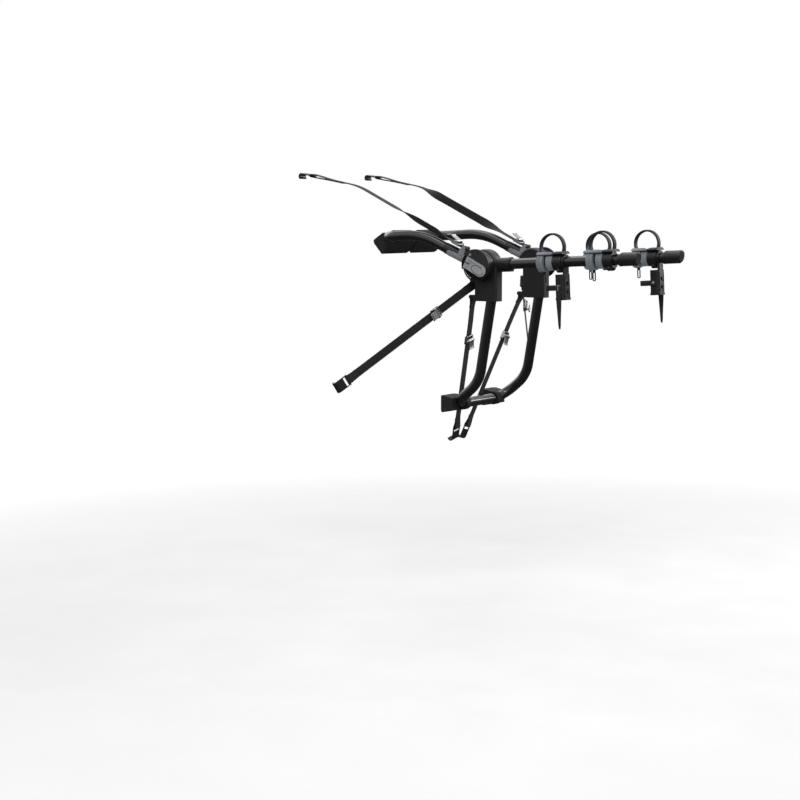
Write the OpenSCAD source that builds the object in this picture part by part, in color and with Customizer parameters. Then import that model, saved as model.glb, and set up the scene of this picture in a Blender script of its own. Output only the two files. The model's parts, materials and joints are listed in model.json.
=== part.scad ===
// Strap-on rear carrier for two bicycles. Two hubs carry the bike arms and the lower frame.
// The upper frame turns in the hubs, and six webbing straps with cam buckles tie the rack down.
// X is to the right of the vehicle, Y points forward to its tailgate and Z is up.
// The shapes are drawn about the hub axis, then placed so that the origin lies midway
// between the contact faces of the lower feet.

/* [Tubes] */
// Outer diameter of the frame and arm tubes
tube_d = 30; // [28:0.5:31]
// Wall of the tubes
tube_wall = 1.8; // [1.2:0.1:3]
// Bend radius at the corners of both frames
corner_r = 55; // [45:1:65]

/* [Hub] */
// Distance of each bike arm from the middle of the rack
arm_x = 135; // [120:1:160]
// Thickness of the hub housing
body_t = 38; // [36:0.5:44]
// Radius of the round top of the hub housing
body_r = 46; // [44:0.5:50]
// Depth of the housing below the hub axis
body_drop = 105; // [98:1:125]
// Forward reach of the housing's leg from the hub axis
body_front = 30; // [26:1:38]
// Thickness of the turning knuckle
knuckle_t = 34; // [33:0.5:38]
// Radius of the knuckle drum
drum_r = 40; // [38:0.5:41]
// Radius of the hub cover
cover_r = 47; // [46:0.5:50]
// Diameter of the hub axle
axle_d = 12; // [10:0.5:14]

/* [Hub lever] */
// Slope of the hub lever
lever_angle = 27; // [15:1:40]
// Width of the hub lever
lever_w = 34; // [28:1:38]
// Length from the lever's pin to its rounded tip
lever_reach = 68; // [58:1:70]
// Thickness of the hub lever
lever_t = 9.6; // [9:0.2:12]

/* [Upper frame] */
// Slope at which the upper frame leaves the hub
upper_angle = 23; // [18:1:28]
// Straight length from the hub axis to the bend
upper_straight = 165; // [150:1:200]
// Bend of each upper leg
upper_bend = 26.5; // [20:0.5:32]
// Radius of that bend
upper_bend_r = 250; // [200:5:320]
// Straight length between the bend and the corner
upper_tip = 30; // [20:1:60]
// Length of the grey connector along the tube
connector_len = 84; // [70:1:95]

/* [Lower frame] */
// Forward lean of the lower legs
lower_lean = 9.6; // [4:0.2:14]
// Straight length of a lower leg below its socket
lower_straight = 205; // [180:1:240]
// Forward bend of each lower leg
lower_bend = 40; // [30:1:50]
// Radius of that bend
lower_bend_r = 100; // [80:2:130]
// Straight length between the bend and the corner
lower_tip = 20; // [12:1:40]
// Distance of the lower socket behind the hub axis
socket_back = 18; // [14:0.5:20]

/* [Feet] */
// Reach of the upper feet from their tube
upper_foot_reach = 55; // [45:1:70]
// Reach of the lower feet from their tube
lower_foot_reach = 50; // [42:1:65]
// Downward slope of the upper feet
upper_foot_angle = 42; // [30:1:55]
// Height of a foot's contact face
foot_h = 40; // [34:1:50]
// Wall of a foot round its tube
foot_wall = 5; // [4:0.5:7]

/* [Arms] */
// Rise of the bike arms
arm_tilt = 3; // [0:0.5:8]
// Distance of the arm's end from the hub axis
arm_len = 487; // [480:1:560]
// Distance between the cradles along an arm
cradle_pitch = 160; // [150:1:170]
// Air between an arm's outer fittings and its pin
arm_gap = 3.5; // [3:0.5:12]
// Length of the end caps
cap_len = 55; // [50:1:58]
// Length of the arm collar behind the hub axis
collar_len = 88; // [75:1:100]

/* [Cradles] */
// Inner radius of the rubber strap's loop
loop_r = 35; // [30:0.5:36]
// Thickness of the rubber strap
loop_t = 5; // [3.5:0.5:5.5]
// Width of the rubber strap
loop_w = 16; // [12:1:20]
// Width of the cradle's saddle
saddle_w = 44; // [38:1:50]
// Height of the saddle's top over the arm's axis
saddle_top = 30; // [28:0.5:32]
// Drop of the anti-sway cage below the arm's axis
cage_drop = 108; // [95:1:130]

/* [Straps] */
// Width of the webbing
strap_w = 25; // [20:1:27]
// Thickness of the webbing
strap_t = 2; // [1.6:0.1:2.4]

/* [Fits] */
// Radial clearance of sleeves, pins and axles
fit = 0.05; // [0.02:0.01:0.08]
// Air between faces that turn past each other
air = 0.5; // [0.4:0.1:1]

/* [Hidden] */
$fn = 64;

tube_r = tube_d / 2;
tube_ri = tube_r - tube_wall;
axle_r = axle_d / 2;

// Stack of the hub along X, from the inside out
body_in = arm_x - body_t / 2;
body_out = arm_x + body_t / 2;
knuckle_in = body_out + air;
knuckle_x = knuckle_in + knuckle_t / 2;
cover_in = knuckle_in + knuckle_t + air;
cover_base = 4;
cover_plate = 5;
lever_in = cover_in + cover_base + 0.4;
connector_r = knuckle_t / 2;
neck_end = drum_r + 4;
tube_start = neck_end + 8;

// Direction in the side view at an angle from +Y
function heading(a) = [0, cos(a), sin(a)];
function unit(v) = v / norm(v);
function square_to(v, d) = unit(v - d * (v * d));

// Places of the cross tubes' axes in the side view
upper_end_angle = upper_angle - upper_bend;
upper_corner = heading(upper_angle) * upper_straight
  + upper_bend_r * ([0, sin(upper_angle), -cos(upper_angle)] + [0, -sin(upper_end_angle), cos(upper_end_angle)])
  + heading(upper_end_angle) * (upper_tip + corner_r);
lower_angle = lower_lean - 90;
lower_end_angle = lower_angle + lower_bend;
socket_end = [0, -socket_back, -body_drop];
lower_corner = socket_end + heading(lower_angle) * lower_straight
  + lower_bend_r * ([0, -sin(lower_angle), cos(lower_angle)] + [0, sin(lower_end_angle), -cos(lower_end_angle)])
  + heading(lower_end_angle) * (lower_tip + corner_r);
socket_depth = 45;

// The origin is midway between the lower feet's contact faces
hub_place = -(lower_corner + [0, lower_foot_reach, 0]);

module place() {
  translate(hub_place) children();
}

module sided(side) {
  if (side < 0) mirror([1, 0, 0]) children();
  else children();
}

// Draws a side view, with 2D x along Y and 2D y along Z, and gives it a thickness along X
module across(x0, x1) {
  translate([x0, 0, 0]) rotate([90, 0, 90]) linear_extrude(x1 - x0) children();
}

// Turns local Z to a heading in the side view
module headed(a) {
  rotate([a - 90, 0, 0]) rotate([0, 0, 90]) children();
}

// Frame with local X along w, Y along d and Z along their normal, at p
module framed(p, d, w) {
  n = cross(w, d);
  multmatrix([
    [w.x, d.x, n.x, p.x],
    [w.y, d.y, n.y, p.y],
    [w.z, d.z, n.z, p.z],
    [0, 0, 0, 1]
  ]) children();
}

// Bike arm's frame, with its axis along local -Y
module on_arm() {
  translate([arm_x, 0, 0]) rotate([-arm_tilt, 0, 0]) children();
}

// Sleeve along the arm from y0 to y1 behind the hub axis
module arm_ring(y0, y1, ro, ri) {
  translate([0, -y0, 0]) rotate([90, 0, 0]) linear_extrude(y1 - y0) ring(ro, ri);
}

module ring(ro, ri) {
  difference() {
    circle(ro);
    if (ri > 0) circle(ri);
  }
}

module sector(r, a0, a1) {
  polygon([[0, 0], for (i = [0:8]) 2 * r * [cos(a0 + (a1 - a0) * i / 8), sin(a0 + (a1 - a0) * i / 8)]]);
}

module arc_ring(ro, ri, a0, a1) {
  intersection() {
    ring(ro, ri);
    sector(ro, a0, a1);
  }
}

// Tube along +Z that bends towards +X, step by step: [length, bend, radius, roll].
// The straight lengths reach a little way into the bends, just under their skin.
lap = 1;
skin = 0.12;
module tube_run(steps, ro, ri, i = 0) {
  if (i < len(steps)) {
    l = steps[i][0];
    a = steps[i][1];
    r = steps[i][2];
    roll = steps[i][3];
    before = i > 0 ? lap : 0;
    after = a > 0 ? lap : 0;
    translate([0, 0, -before]) linear_extrude(l + before + after)
      ring(ro, ri);
    translate([0, 0, l]) rotate([0, 0, roll]) {
      if (a > 0)
        rotate([0, 0, 180]) rotate([90, 0, 0]) translate([-r, 0, 0])
          rotate_extrude(angle = a) translate([r, 0]) ring(ro + skin, ri > 0 ? ri - skin : 0);
      translate([r * (1 - cos(a)), 0, r * sin(a)]) rotate([0, a, 0]) rotate([0, 0, -roll])
        tube_run(steps, ro, ri, i + 1);
    }
  }
}

module upper_path(ro, ri) {
  leg = upper_straight - tube_start;
  translate([knuckle_x, 0, 0] + heading(upper_angle) * tube_start) headed(upper_angle)
    tube_run([
      [leg, upper_bend, upper_bend_r, 0],
      [upper_tip, 90, corner_r, 90],
      [2 * (knuckle_x - corner_r), 90, corner_r, 90],
      [upper_tip, upper_bend, upper_bend_r, 0],
      [leg, 0, 0, 0]
    ], ro, ri);
}

module lower_path(ro, ri) {
  leg = lower_straight + socket_depth - 1;
  translate([arm_x, 0, 0] + socket_end - heading(lower_angle) * (socket_depth - 1)) headed(lower_angle)
    tube_run([
      [leg, lower_bend, lower_bend_r, 180],
      [lower_tip, 90, corner_r, 90],
      [2 * (arm_x - corner_r), 90, corner_r, 90],
      [lower_tip, lower_bend, lower_bend_r, 180],
      [leg, 0, 0, 0]
    ], ro, ri);
}

module upper_tube() {
  color("#1b1c1e") upper_path(tube_r, tube_ri);
}

module lower_tube() {
  color("#1b1c1e") lower_path(tube_r, tube_ri);
}

// Slot with round ends about its centre, along 2D y
module stadium(w, h) {
  union() {
    square([w, h - w], center = true);
    for (y = [-1, 1]) translate([0, y * (h - w) / 2]) circle(w / 2);
  }
}

// Rounded rectangle about its centre
module soft_rect(w, h, r) {
  union() {
    square([w - 2 * r, h], center = true);
    square([w, h - 2 * r], center = true);
    for (x = [-1, 1], y = [-1, 1])
      translate([x * (w / 2 - r), y * (h / 2 - r)]) circle(r);
  }
}

body_edge = 7;
anchor_r = 3;
anchor_y = body_front + 12;
side_anchor_z = 48 - body_drop;
bottom_anchor_z = 12 - body_drop;
ear_t = 4;

// Two ears on the housing's leg with a bar between them for a strap's loop
module strap_anchor(z) {
  for (x = [body_in, body_out - ear_t])
    across(x, x + ear_t) union() {
      translate([anchor_y, z]) circle(anchor_r + 3);
      translate([body_front - 8, z - anchor_r - 3]) square([anchor_y - body_front + 8, 2 * (anchor_r + 3)]);
    }
  across(body_in + 1, body_out - 1) translate([anchor_y, z]) circle(anchor_r);
}

// The same for the side strap, with its bar square to the strap
module side_anchor() {
  half = strap_w / 2 + 0.7;
  framed(side_start, run_dir(side_run), run_width(side_run)) {
    rotate([0, 90, 0]) cylinder(r = anchor_r, h = 2 * half + 2, center = true);
    for (x = [-half - ear_t, half]) across(x, x + ear_t) {
      circle(anchor_r + 2.5);
      translate([-anchor_r - 2.5, 0]) square([2 * anchor_r + 5, 18]);
    }
  }
}

module hub_body(side) {
  leg_mid = (body_front - body_r) / 2;
  color("#2a2b2d") sided(side) difference() {
    union() {
      // Round top with soft edges
      translate([arm_x, 0, 0]) rotate([90, 0, 90]) rotate_extrude(angle = 180)
        intersection() {
          soft_rect(2 * body_r, body_t, body_edge);
          translate([0, -body_t]) square([body_r + 1, 2 * body_t]);
        }
      // Leg down to the lower tube's socket
      translate([arm_x, leg_mid, -body_drop]) linear_extrude(body_drop + 0.01)
        soft_rect(body_t, body_front + body_r, body_edge);
      on_arm() {
        arm_ring(30, collar_len, tube_r + 4, 0);
        arm_ring(collar_len - 8, collar_len, tube_r + 5, 0);
        translate([-9, -collar_len, -tube_r - 7]) cube([18, collar_len - 36, tube_r + 6]);
      }
      side_anchor();
      strap_anchor(bottom_anchor_z);
    }
    across(body_in - 1, body_out + 1) circle(axle_r + fit);
    on_arm() arm_ring(22, collar_len + 1, tube_r + fit, 0);
    translate([arm_x, 0, 0] + socket_end + heading(lower_angle) * 20) headed(lower_angle)
      translate([0, 0, -socket_depth - 20]) cylinder(r = tube_r + fit, h = socket_depth + 20);
  }
}

// Frame of the hub lever: 2D x runs along the lever to its pin
lever_drop = 4;
pin_u = 26;
pin_r = 2;
cam_r = 6.4;
tongue_w = 3;
slot_w = tongue_w + 0.6;
pin_x = lever_in + cam_r;

module lever_plane(x0, x1) {
  across(x0, x1) rotate(lever_angle) translate([0, -lever_drop]) children();
}

module along_pin(l, r) {
  rotate([lever_angle, 0, 0]) translate([pin_x, pin_u, -lever_drop]) cylinder(r = r, h = l, center = true);
}

screw_r = 2.6;
// Slot for webbing in the knuckle's guard, left free by the cover
slot_a = [-72, -14];
slot_r = [drum_r + 1.4, drum_r + 5.6];

module cover_holes() {
  rotate(108) translate([cover_r - 9, 0]) circle(screw_r);
  rotate(-79) translate([cover_r - 8, 0]) circle(screw_r);
}

module hub_cover(side) {
  edge_w = lever_w / 2 + 0.6;
  color("#3c3d40") sided(side) difference() {
    union() {
      across(cover_in, cover_in + cover_base) circle(cover_r);
      // Raised plate over the lever, cut parallel to it
      difference() {
        across(cover_in, cover_in + cover_base + cover_plate) circle(cover_r);
        lever_plane(cover_in + cover_base, cover_in + 40)
          translate([-2 * cover_r, edge_w - 4 * cover_r]) square(4 * cover_r);
      }
      // Pointer beside the connector
      across(cover_in, cover_in + cover_base) rotate(upper_angle + 22)
        polygon([[cover_r - 6, -7], [cover_r + 7, -3], [cover_r - 6, 6]]);
      // Tongue in the lever's slot
      lever_plane(cover_in, pin_x) translate([pin_u - 4.5, -tongue_w / 2]) square([9, tongue_w]);
      rotate([lever_angle, 0, 0]) translate([pin_x, pin_u, -lever_drop])
        cylinder(r = 4.5, h = tongue_w, center = true);
    }
    across(cover_in - 1, cover_in + cover_base + 1) circle(axle_r + fit);
    across(cover_in - 1, cover_in + 40) cover_holes();
    across(cover_in - 1, cover_in + cover_base + 1) arc_ring(cover_r + 2, slot_r[0], slot_a[0], slot_a[1]);
    // Window for the angle scale
    across(cover_in - 1, cover_in + 40) rotate(upper_angle + 38) translate([cover_r - 15, -5]) square([8, 10]);
    along_pin(tongue_w + 2, pin_r + fit);
  }
}

module hub_lever(side) {
  tip_r = lever_w / 2;
  color("#a3a7ab") sided(side) difference() {
    union() {
      lever_plane(lever_in, lever_in + lever_t) {
        translate([pin_u - lever_reach + tip_r, 0]) circle(tip_r);
        translate([pin_u - lever_reach + tip_r, -tip_r]) square([lever_reach - tip_r, lever_w]);
      }
      // Round nose about the pin
      along_pin(lever_w, cam_r);
      // Ridge along the upper edge
      lever_plane(lever_in, lever_in + lever_t + 2)
        translate([pin_u - lever_reach + 14, tip_r - 5.5]) square([lever_reach - 20, 5]);
    }
    lever_plane(lever_in - 10, lever_in + 40) {
      translate([pin_u - 8, -slot_w / 2]) square([30, slot_w]);
      translate([pin_u - 8, 0]) circle(slot_w / 2 + 1);
    }
    along_pin(lever_w + 2, pin_r + fit);
    // Finger scoop under the tip
    lever_plane(lever_in - 1, lever_in + 3.5)
      translate([pin_u - lever_reach - 4, -tip_r + 4]) square([12, lever_w - 8]);
  }
}

module lever_pins() {
  color("#8d9093") for (side = [-1, 1]) sided(side) along_pin(lever_w - 2, pin_r);
}

module hub_axles() {
  color("#8d9093") for (side = [-1, 1]) sided(side) {
    across(body_in, cover_in + cover_base) circle(axle_r);
    across(body_in - 6, body_in) circle(axle_r + 5, $fn = 6);
    across(body_in - 8, body_in - 6) circle(axle_r + 1);
  }
}

module knuckle(side) {
  color("#232426") sided(side) difference() {
    union() {
      across(knuckle_in, knuckle_in + knuckle_t) circle(drum_r);
      translate([knuckle_x, 0, 0]) headed(upper_angle) {
        cylinder(r = connector_r - 0.3, h = neck_end);
        cylinder(r = tube_ri - fit, h = tube_start + 26);
      }
      // Guard with a slot for webbing
      across(knuckle_in + 5, knuckle_in + knuckle_t - 5) difference() {
        arc_ring(slot_r[1] + 3.6, drum_r - 2, slot_a[0] - 11, slot_a[1] + 11);
        arc_ring(slot_r[1], slot_r[0], slot_a[0], slot_a[1]);
      }
    }
    across(knuckle_in - 1, knuckle_in + knuckle_t + 1) circle(axle_r + fit);
  }
}

// Lug on the connector that carries the top strap
lug_at = neck_end + connector_len * 0.22;
lug_h = connector_r + 9;
lug_ear = 3;
lug_gap = strap_w + 1.4;
lug_bar = [0, 0, 0] + heading(upper_angle) * lug_at + heading(upper_angle + 90) * lug_h;

module connector(side) {
  far = neck_end + connector_len;
  color("#9a9ea3") sided(side) difference() {
    union() {
      translate([knuckle_x, 0, 0]) headed(upper_angle) rotate_extrude() polygon([
        [0, neck_end], [connector_r - 1, neck_end], [connector_r - 0.2, neck_end + 6],
        [connector_r - 0.2, far - 26], [connector_r - 0.8, far - 10], [tube_r + 0.6, far], [0, far]
      ]);
      for (x = [-1, 1]) translate([x * (lug_gap + lug_ear) / 2, 0, 0])
        across(knuckle_x - lug_ear / 2, knuckle_x + lug_ear / 2) rotate(upper_angle) {
          translate([lug_at, lug_h]) circle(anchor_r + 2.5);
          translate([lug_at - 9, 0]) square([18, lug_h - 3]);
        }
      across(knuckle_x - lug_gap / 2 - 1, knuckle_x + lug_gap / 2 + 1) rotate(upper_angle)
        translate([lug_at, lug_h]) circle(anchor_r - 0.5);
    }
    translate([knuckle_x, 0, 0]) headed(upper_angle)
      translate([0, 0, neck_end - 1]) cylinder(r = tube_r + fit, h = connector_len + 2);
  }
}

// Foot: a clip round the cross tube and a block with chamfered ends, along 2D x
module foot_block(x0, x1, clip0, clip1, reach, angle) {
  face = foot_h / 2;
  chamfer = 12;
  rotate([angle, 0, 0]) difference() {
    union() {
      across(clip0, clip1) circle(tube_r + foot_wall);
      across(x0, x1) polygon([
        [2, -tube_r - foot_wall + 1], [reach - 16, -face - 5], [reach - 6, -face - 5], [reach, -face],
        [reach, face], [reach - 6, face + 5], [reach - 16, face + 5], [2, tube_r + foot_wall - 1]
      ]);
    }
    for (end = [x0, x1])
      translate([end, reach, 0]) rotate([0, 0, 45])
        cube([chamfer * sqrt(2), chamfer * sqrt(2), 12 * tube_r], center = true);
    // Grooves across the rubber face
    for (t = [-0.25, 0.25])
      translate([(x0 + x1) / 2, reach, t * foot_h]) cube([x1 - x0 + 2, 3, 3], center = true);
  }
}

upper_foot_x = [8, 146];
upper_clip_x = [22, 108];
lower_foot_x = [76, 148];
lower_clip_x = [76, 97];

module upper_foot(side) {
  color("#161616") difference() {
    sided(side) translate(upper_corner)
      foot_block(upper_foot_x[0], upper_foot_x[1], upper_clip_x[0], upper_clip_x[1], upper_foot_reach, -upper_foot_angle);
    upper_path(tube_r + fit, 0);
  }
}

module lower_foot(side) {
  color("#161616") difference() {
    sided(side) translate(lower_corner)
      foot_block(lower_foot_x[0], lower_foot_x[1], lower_clip_x[0], lower_clip_x[1], lower_foot_reach, 0);
    lower_path(tube_r + fit, 0);
  }
}

// The pin sits just ahead of the end cap, and the cradles are set out from the pin
arm_start = tube_r + 9;
arm_pin_r = 2.5;
cap_start = arm_len - cap_len + 8;
cap_r = tube_r + 4;
pad_half = loop_r + loop_t + 2;
cage_back = pad_half + 1;
arm_pin_y = cap_start - arm_pin_r - 3.5;
outer_cradle = arm_pin_y - arm_pin_r - arm_gap - cage_back;
inner_cradle = outer_cradle - cradle_pitch;

module arm_pin(r, l) {
  translate([0, -arm_pin_y, 0]) rotate([0, 90, 0]) cylinder(r = r, h = l, center = true);
}

module arm_tube(side) {
  color("#1b1c1e") sided(side) on_arm() difference() {
    arm_ring(arm_start, arm_len, tube_r, tube_ri);
    arm_pin(arm_pin_r + fit, 2 * tube_d);
  }
}

module arm_pins() {
  color("#55585b") for (side = [-1, 1]) sided(side) on_arm() {
    arm_pin(arm_pin_r, tube_d + 2);
    for (x = [-1, 1]) translate([x * (tube_r + fit + 1), 0, 0]) arm_pin(arm_pin_r + 1.6, 2);
  }
}

module end_cap(side) {
  color("#202124") sided(side) on_arm() difference() {
    rotate([90, 0, 0]) rotate_extrude() polygon([
      [0, cap_start], [cap_r - 0.8, cap_start], [cap_r, cap_start + 2],
      [cap_r, cap_start + cap_len - 4], [cap_r - 3, cap_start + cap_len], [0, cap_start + cap_len]
    ]);
    arm_ring(cap_start - 1, arm_len + 0.3, tube_r + fit, 0);
    // Slanted end
    translate([0, -cap_start - cap_len, cap_r]) rotate([-24, 0, 0]) translate([-2 * cap_r, -cap_len, -3 * cap_r])
      cube([4 * cap_r, cap_len, 6 * cap_r]);
  }
}

hoop_r = tube_r + 11.5;
saddle_r = tube_r + 18;
clamp_r = tube_r + 8.5;
hoop_y = [-42, -22];
inner_hoop_y = [-13, 7];
clamp_y = [8, 36];
loop_z = saddle_top + 12;

// Block under a bicycle tube, round outside and with a ribbed trough, from y0 to y1 behind a cradle's middle
module saddle_block(at, y0, y1) {
  trough = saddle_r + 3;
  difference() {
    intersection() {
      translate([-saddle_w / 2, -at - y1, tube_r + 7]) cube([saddle_w, y1 - y0, saddle_top - tube_r - 7]);
      arm_ring(at + y0 - 1, at + y1 + 1, saddle_r, 0);
    }
    translate([0, -at, loop_z + 20]) rotate([0, 90, 0]) cylinder(r = trough, h = saddle_w + 2, center = true);
    for (i = [-3:3])
      translate([0, -at, loop_z + 20]) rotate([i * 7.5, 0, 0]) translate([0, 0, -trough])
        cube([saddle_w + 2, 2, 2.4], center = true);
  }
}

module cradle_clamp(side, at) {
  color("#1d1e20") sided(side) on_arm() difference() {
    union() {
      arm_ring(at + clamp_y[0], at + clamp_y[1], clamp_r, 0);
      saddle_block(at, clamp_y[0] + 0.3, pad_half);
      // Boss and screw head under the arm
      translate([0, -at - 24, -clamp_r + 1]) rotate([0, 90, 0]) cylinder(r = 8, h = 26, center = true);
      translate([0, -at - 24, -clamp_r + 1]) rotate([0, 90, 0]) cylinder(r = 4.5, h = 31, center = true);
    }
    arm_ring(at, at + 50, tube_r + fit, 0);
    // Split of the clamp below the arm
    translate([-0.75, -at - 2 * pad_half, -2 * pad_half]) cube([1.5, 2 * pad_half + 3, 2 * pad_half - tube_r + 1]);
  }
}

module cradle_pad(side, at) {
  color("#7d8388") sided(side) on_arm() difference() {
    union() {
      arm_ring(at + hoop_y[0], at + hoop_y[1], hoop_r, 0);
      arm_ring(at + hoop_y[0] + 4, at + hoop_y[0] + 9, hoop_r + 1.5, 0);
      arm_ring(at + inner_hoop_y[0], at + inner_hoop_y[1], clamp_r, 0);
      saddle_block(at, -pad_half, clamp_y[0] - 0.3);
    }
    arm_ring(at - 2 * pad_half, at + 2 * pad_half, tube_r + fit, 0);
  }
}

module cradle_strap(side, at) {
  tab_l = 30;
  tab_w = 10;
  tab_y = -at - hoop_y[0] - 12;
  color("#202224") sided(side) on_arm() {
    // Loop over the bicycle tube, seated on the saddle
    difference() {
      translate([0, -at, loop_z]) rotate([0, 90, 0]) linear_extrude(loop_w, center = true)
        ring(loop_r + loop_t, loop_r);
      translate([-2 * loop_w, -at - 2 * pad_half, saddle_top - 2 * pad_half])
        cube([4 * loop_w, 4 * pad_half, 2 * pad_half]);
    }
    // Pull tab under the front hoop
    difference() {
      across(-2, 2) translate([tab_y, -hoop_r - tab_l / 2]) difference() {
        stadium(tab_w, tab_l + 6);
        translate([0, -4]) stadium(tab_w - 5, tab_l - 12);
      }
      arm_ring(at - 60, at + 60, hoop_r + 1.5 + fit, 0);
    }
  }
}

cage_ring = [pad_half - 5.5, pad_half + 1];
cage_top = hoop_r + 8.5;
cage_w = 44;
cage_jaw_r = 15;
cage_front = 14;

module sway_cage(side, at) {
  mid = (cage_front + cage_back) / 2;
  depth = cage_back - cage_front;
  color("#1d1e20") sided(side) on_arm() difference() {
    union() {
      arm_ring(at + cage_ring[0], at + cage_ring[1], tube_r + 6, 0);
      // Neck from the ring down to the cage
      translate([-12, -at - cage_ring[1], -cage_top - 12]) cube([24, cage_ring[1] - cage_ring[0], cage_top + 12]);
      translate([0, -at - mid, -cage_drop]) linear_extrude(cage_drop - cage_top)
        soft_rect(cage_w, depth, 9);
      // Flange at the cage's foot
      translate([0, -at - mid, -cage_drop]) linear_extrude(7) soft_rect(cage_w, depth + 3, 9);
    }
    arm_ring(at, at + 2 * pad_half, tube_r + fit, 0);
    // Jaw for the seat tube, open towards the hub
    translate([0, -at - cage_front - 10, -cage_drop - 1]) cylinder(r = cage_jaw_r, h = cage_drop - cage_top + 2);
    translate([-cage_jaw_r, -at - cage_front - 10, -cage_drop - 1]) cube([2 * cage_jaw_r, 60, cage_drop - cage_top + 2]);
    // Windows in the back wall
    for (z = [0.36, 0.68])
      translate([0, -at - cage_back, -cage_top - z * (cage_drop - cage_top)]) rotate([90, 0, 0])
        cylinder(r = 6, h = 40, center = true);
  }
}

module sway_strap(side, at) {
  band_h = 15;
  band_z = -cage_top - 0.52 * (cage_drop - cage_top);
  inner = cage_w / 2 + 0.3;
  back = 22;
  front = 34;
  tail = 117;
  color("#202224") sided(side) on_arm() translate([0, -at - cage_front, band_z]) {
    // Band from one side of the cage round the seat tube to the other
    linear_extrude(band_h, center = true) {
      for (x = [-1, 1]) translate([x * (inner + 1.5) - 1.5, -back]) square([3, back + front - inner]);
      translate([0, front - inner]) arc_ring(inner + 3, inner, 0, 180);
    }
    // Loose tail, tapered
    translate([inner, -back, 0]) rotate([90, 0, 90]) linear_extrude(3)
      polygon([[0, 7], [17, 7], [17, -35], [12, -tail], [6, -tail], [0, -30]]);
  }
}

// Straps as swept webbing: each station is [point, direction of the width]
function tangent(s, i) = unit(s[min(i + 1, len(s) - 1)][0] - s[max(i - 1, 0)][0]);
function station(s, i, w, t) =
  let (d = tangent(s, i), x = square_to(s[i][1], d), n = cross(x, d), p = s[i][0])
  [p - x * w / 2 - n * t / 2, p + x * w / 2 - n * t / 2, p + x * w / 2 + n * t / 2, p - x * w / 2 + n * t / 2];

module webbing(s) {
  n = len(s) - 1;
  points = [for (i = [0:n]) each station(s, i, strap_w, strap_t)];
  sides = [for (i = [0:n - 1], k = [0:3])
    let (a = 4 * i + k, b = 4 * i + (k + 1) % 4) each [[a, b, b + 4], [a, b + 4, a + 4]]];
  polyhedron(points, concat([[2, 1, 0], [3, 2, 0]], sides, [[4 * n, 4 * n + 1, 4 * n + 2], [4 * n, 4 * n + 2, 4 * n + 3]]));
}

// Sewn loop of webbing round a bar along w, seen by the strap that leaves along d
loop_clear = 0.3;
module sewn_loop(p, d, w, bar_r) {
  framed(p, d, w) rotate([90, 0, 90]) linear_extrude(strap_w - 0.6, center = true)
    ring(bar_r + loop_clear + strap_t, bar_r + loop_clear);
}

lug_bar_r = anchor_r - 0.5;
hook_bar_r = 3;

// Ends and bends of the straps, on the right-hand side and about the hub axis
top_bend = [0, 434, 232];
top_end = [0, 610, 265];
side_end = [500, 230, -320];
bottom_end = [30, 170, -500];

top_start = [knuckle_x, 0, 0] + lug_bar;
side_start = [arm_x, anchor_y, side_anchor_z];
bottom_start = [arm_x, anchor_y, bottom_anchor_z];
top_turn = [knuckle_x, 0, 0] + top_bend;
top_stop = [knuckle_x, 0, 0] + top_end;

// A strap's run: [start, end, width direction at its hook, distance to its buckle]
top_run = [top_start, top_turn, [1, 0, 0], 32];
side_run = [side_start, side_end, [0, 0, -1], 150];
bottom_run = [bottom_start, bottom_end, [-1, 0, 0], 140];

function run_dir(r) = unit(r[1] - r[0]);
function run_width(r) = square_to(r[2], run_dir(r));

// Webbing of the top strap; a twisted one turns its face to the side and back
twist_steps = [[0.22, 0], [0.34, 45], [0.46, 90], [0.8, 90], [0.9, 45]];
function top_stations(twisted) =
  let (d = run_dir(top_run), w = [1, 0, 0], n = cross(w, d))
  concat(
    [[top_start + d * (lug_bar_r + 1.2), w]],
    twisted ? [for (s = twist_steps) [top_start + (top_turn - top_start) * s[0], w * cos(s[1]) + n * sin(s[1])]] : [],
    [[top_turn + d * 1.5, w]]
  );

module top_strap(side) {
  over = unit(top_stop - top_turn);
  color("#1a1a1b") sided(side) {
    sewn_loop(top_start, run_dir(top_run), [1, 0, 0], lug_bar_r);
    webbing(top_stations(side > 0));
    framed(top_turn, over, [1, 0, 0]) translate([0.15 - strap_w / 2, -1.5, -strap_t / 2])
      cube([strap_w - 0.3, norm(top_stop - top_turn) - hook_bar_r + 0.5, strap_t]);
    sewn_loop(top_stop, over, [1, 0, 0], hook_bar_r);
  }
}

// Straps of the lower frame run straight from their bar to their hook
module side_strap(side) {
  d = run_dir(side_run);
  w = run_width(side_run);
  color("#1a1a1b") sided(side) {
    sewn_loop(side_start, d, w, anchor_r);
    webbing([[side_start + d * (anchor_r + 1), w], [side_end - d * (hook_bar_r + 1), w]]);
    sewn_loop(side_end, d, w, hook_bar_r);
  }
}

// The bottom strap leaves its bar square, clears the ears and then leans inwards
bottom_lead = 16;
module bottom_strap(side) {
  d = run_dir(bottom_run);
  w = run_width(bottom_run);
  lead = unit([0, d.y, d.z]);
  color("#1a1a1b") sided(side) {
    sewn_loop(bottom_start, lead, [-1, 0, 0], anchor_r);
    webbing([
      [bottom_start + lead * (anchor_r + 1), [-1, 0, 0]], [bottom_start + lead * bottom_lead, [-1, 0, 0]],
      [bottom_start + d * 70, w], [bottom_start + d * 200, w], [bottom_end - d * (hook_bar_r + 1), w]
    ]);
    sewn_loop(bottom_end, d, w, hook_bar_r);
  }
}

// Cam buckle, in a strap's frame: width along X, strap along Y, lever on the +Z side
cam_pin_z = 8;
cam_pin_r = 2;
cam_drum_r = 5.6;
buckle_wall = 1.5;
buckle_w = strap_w + 5;

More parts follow.
